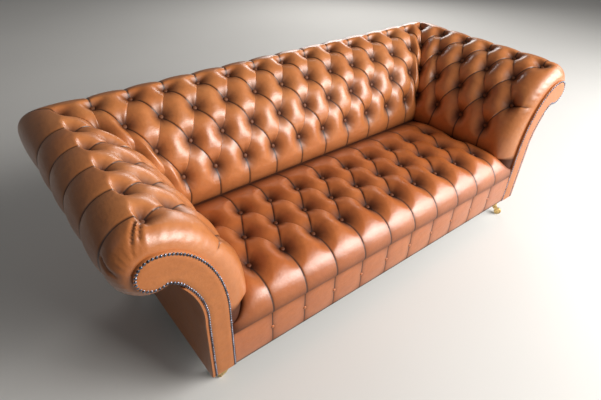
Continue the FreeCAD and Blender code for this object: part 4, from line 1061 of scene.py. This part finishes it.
settle(back_leather(tan_leather), "sofa", "back_pad", slot="tan_leather", fill=0.85)
settle(seat_leather(shaded_seat_tan), "sofa", "seat_pad", slot="seat_leather", fill=0.85)
settle(border_leather(shaded_seat_tan), "sofa", "front_border", slot="seat_leather", fill=0.6)
settle(cover_back(plain_tan), "sofa", "outer_back_cover", slot="tan_leather")
settle(back_button_heads(tan_leather), "sofa", "back_buttons", slot="tan_leather")
settle(seat_button_heads(shaded_seat_tan), "sofa", "seat_buttons", slot="seat_leather")
settle(border_button_heads(shaded_seat_tan), "sofa", "border_buttons", slot="seat_leather")
for side, hand in ((-1, "left"), (1, "right")):
    settle(arm_leather(side, hand, tan_leather), "sofa", "arm_pad_" + hand,
           slot="tan_leather", fill=0.85)
    settle(cover_left_right(side, hand, plain_tan), "sofa", "outer_arm_cover_" + hand,
           slot="tan_leather")
    settle(facing_panel(side, hand, plain_tan), "sofa", "facing_" + hand, slot="tan_leather")
    settle(facing_nails(side, hand, nail_metal), "sofa", "facing_nails_" + hand,
           slot="antique_nails")
    settle(arm_button_heads(side, hand, tan_leather), "sofa", "arm_buttons_" + hand,
           slot="tan_leather")

for name in CASTOR_TURN:
    settle(castor_plate(name, castor_brass), "sofa", "castor_plate_" + name, slot="castor_brass")
    settle(castor_horn(name, castor_brass), "horn_" + name, "castor_horn_" + name,
           slot="castor_brass")
    settle(castor_turned("pin", name, PIN_PROFILE, castor_brass), "horn_" + name,
           "castor_axle_" + name, slot="castor_brass")
    settle(castor_turned("wheel", name, WHEEL_PROFILE, castor_brass), "wheel_" + name,
           "castor_wheel_" + name, slot="castor_brass")

# Finishes of the pieces that come from the frame

FRAME_FINISH = {
    "leg_": leg_wood,
    "seat_webbing": jute_web,
    "seat_deck": deck_hessian,
    "dust_cover": black_lining,
}
for label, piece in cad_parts.items():
    if piece.hide_render:
        continue
    finish = frame_beech
    for start, material in FRAME_FINISH.items():
        if label.startswith(start):
            finish = material
    piece.data.materials.clear()
    piece.data.materials.append(finish)


# Studio

def plain_surface(name, colour, rough):
    """A plain matt surface for the floor, with a faint unevenness. It is pale where it is
    seen, straight or in a gloss, and throws back less light under the sofa."""
    material, tree, shader, place = node_tree(name)
    cloud = noise(tree, place, 0.8, 2.0, 0.5)
    shade = blended(tree, ranged(tree, cloud, 0.3, 0.7, 0.0, 1.0), colour,
                    dimmed(colour, 0.96))
    path = tree.nodes.new("ShaderNodeLightPath")
    seen = calculated(tree, "MAXIMUM", path.outputs["Is Camera Ray"],
                      path.outputs["Is Glossy Ray"])
    seen = calculated(tree, "MAXIMUM", seen, path.outputs["Is Transmission Ray"])
    shade = blended(tree, seen, dimmed(colour, FLOOR_BOUNCE), shade)
    tree.links.new(shade, shader.inputs["Base Color"])
    shader.inputs["Roughness"].default_value = rough
    shader.inputs["Specular IOR Level"].default_value = 0.2
    return material


def studio_floor():
    """A large flat sheet under the sofa."""
    mesh = bpy.data.meshes.new("floor")
    mesh.from_pydata([(-14, -14, 0), (14, -14, 0), (14, 14, 0), (-14, 14, 0)], [], [(0, 1, 2, 3)])
    mesh.materials.append(plain_surface("floor_paper", linear(226, 224, 220), 0.85))
    floor = bpy.data.objects.new("floor", mesh)
    bpy.context.scene.collection.objects.link(floor)


def placed(name, data, place, right, up, back):
    """An object for a lamp or a camera at a place, from its three axes."""
    holder = bpy.data.objects.new(name, data)
    columns = stacked(right, up, back, place)
    holder.matrix_world = Matrix([*columns.tolist(), [0, 0, 0, 1]])
    bpy.context.scene.collection.objects.link(holder)
    return holder


def soft_light(name, place, target, width, height, power, colour):
    """A rectangular soft lamp that faces a target."""
    lamp = bpy.data.lights.new(name, "AREA")
    lamp.shape = "RECTANGLE"
    lamp.size, lamp.size_y = width, height
    lamp.energy = power
    lamp.color = colour
    back = np.array(place, float) - np.array(target, float)
    back /= np.linalg.norm(back)
    across = np.cross([0, 0, 1.0], back)
    across /= np.linalg.norm(across)
    up = np.cross(back, across)
    holder = placed(name, lamp, place, across, up, back)


studio_floor()
soft_light("window_front", (1.6, -3.2, 2.8), (0.0, 0.0, 0.5), 2.8, 1.7, 150.0, (1.0, 0.98, 0.95))
soft_light("window_right", (3.1, -2.8, 2.0), (0.0, -0.2, 0.5), 3.4, 2.6, 200.0, (1.0, 0.99, 0.98))
soft_light("window_back", (3.4, 3.4, 1.9), (0.0, 0.0, 0.6), 2.6, 1.4, 55.0, (1.0, 0.99, 0.97))
soft_light("window_left", (-3.4, 0.6, 2.4), (0.0, 0.0, 0.5), 1.8, 1.6, 1.5, (0.98, 0.98, 1.0))

world = bpy.data.worlds.new("studio")
world.use_nodes = True
world.node_tree.nodes["Background"].inputs["Color"].default_value = (0.9, 0.89, 0.88, 1.0)
world.node_tree.nodes["Background"].inputs["Strength"].default_value = 0.11
bpy.context.scene.world = world
bpy.context.scene.view_settings.view_transform = "Standard"


# Camera, at the place and angle from which the photograph was taken

def camera_at(place, heading, down, roll, lens):
    """A camera at a place: heading is from +Y towards +X, down is the tilt below level and
    roll turns the picture, all in degrees. Its forward axis comes from heading and tilt, and
    roll mixes its right and up axes."""
    yaw, pitch, turn = (math.radians(v) for v in (heading, down, roll))
    forward = np.array([math.sin(yaw) * math.cos(pitch), math.cos(yaw) * math.cos(pitch),
                        -math.sin(pitch)])
    right = np.array([math.cos(yaw), -math.sin(yaw), 0.0])
    up = np.cross(right, forward)
    across = right * math.cos(turn) + up * math.sin(turn)
    above = up * math.cos(turn) - right * math.sin(turn)
    data = bpy.data.cameras.new("camera")
    data.sensor_fit = "HORIZONTAL"
    data.sensor_width = 36.0
    data.lens = lens
    data.clip_start, data.clip_end = 0.05, 60.0
    holder = placed("camera", data, place, across, above, -forward)
    bpy.context.scene.camera = holder


camera_at((-1.2137, -1.3203, 1.4760), 39.03, 36.065, 1.757, 27.80)
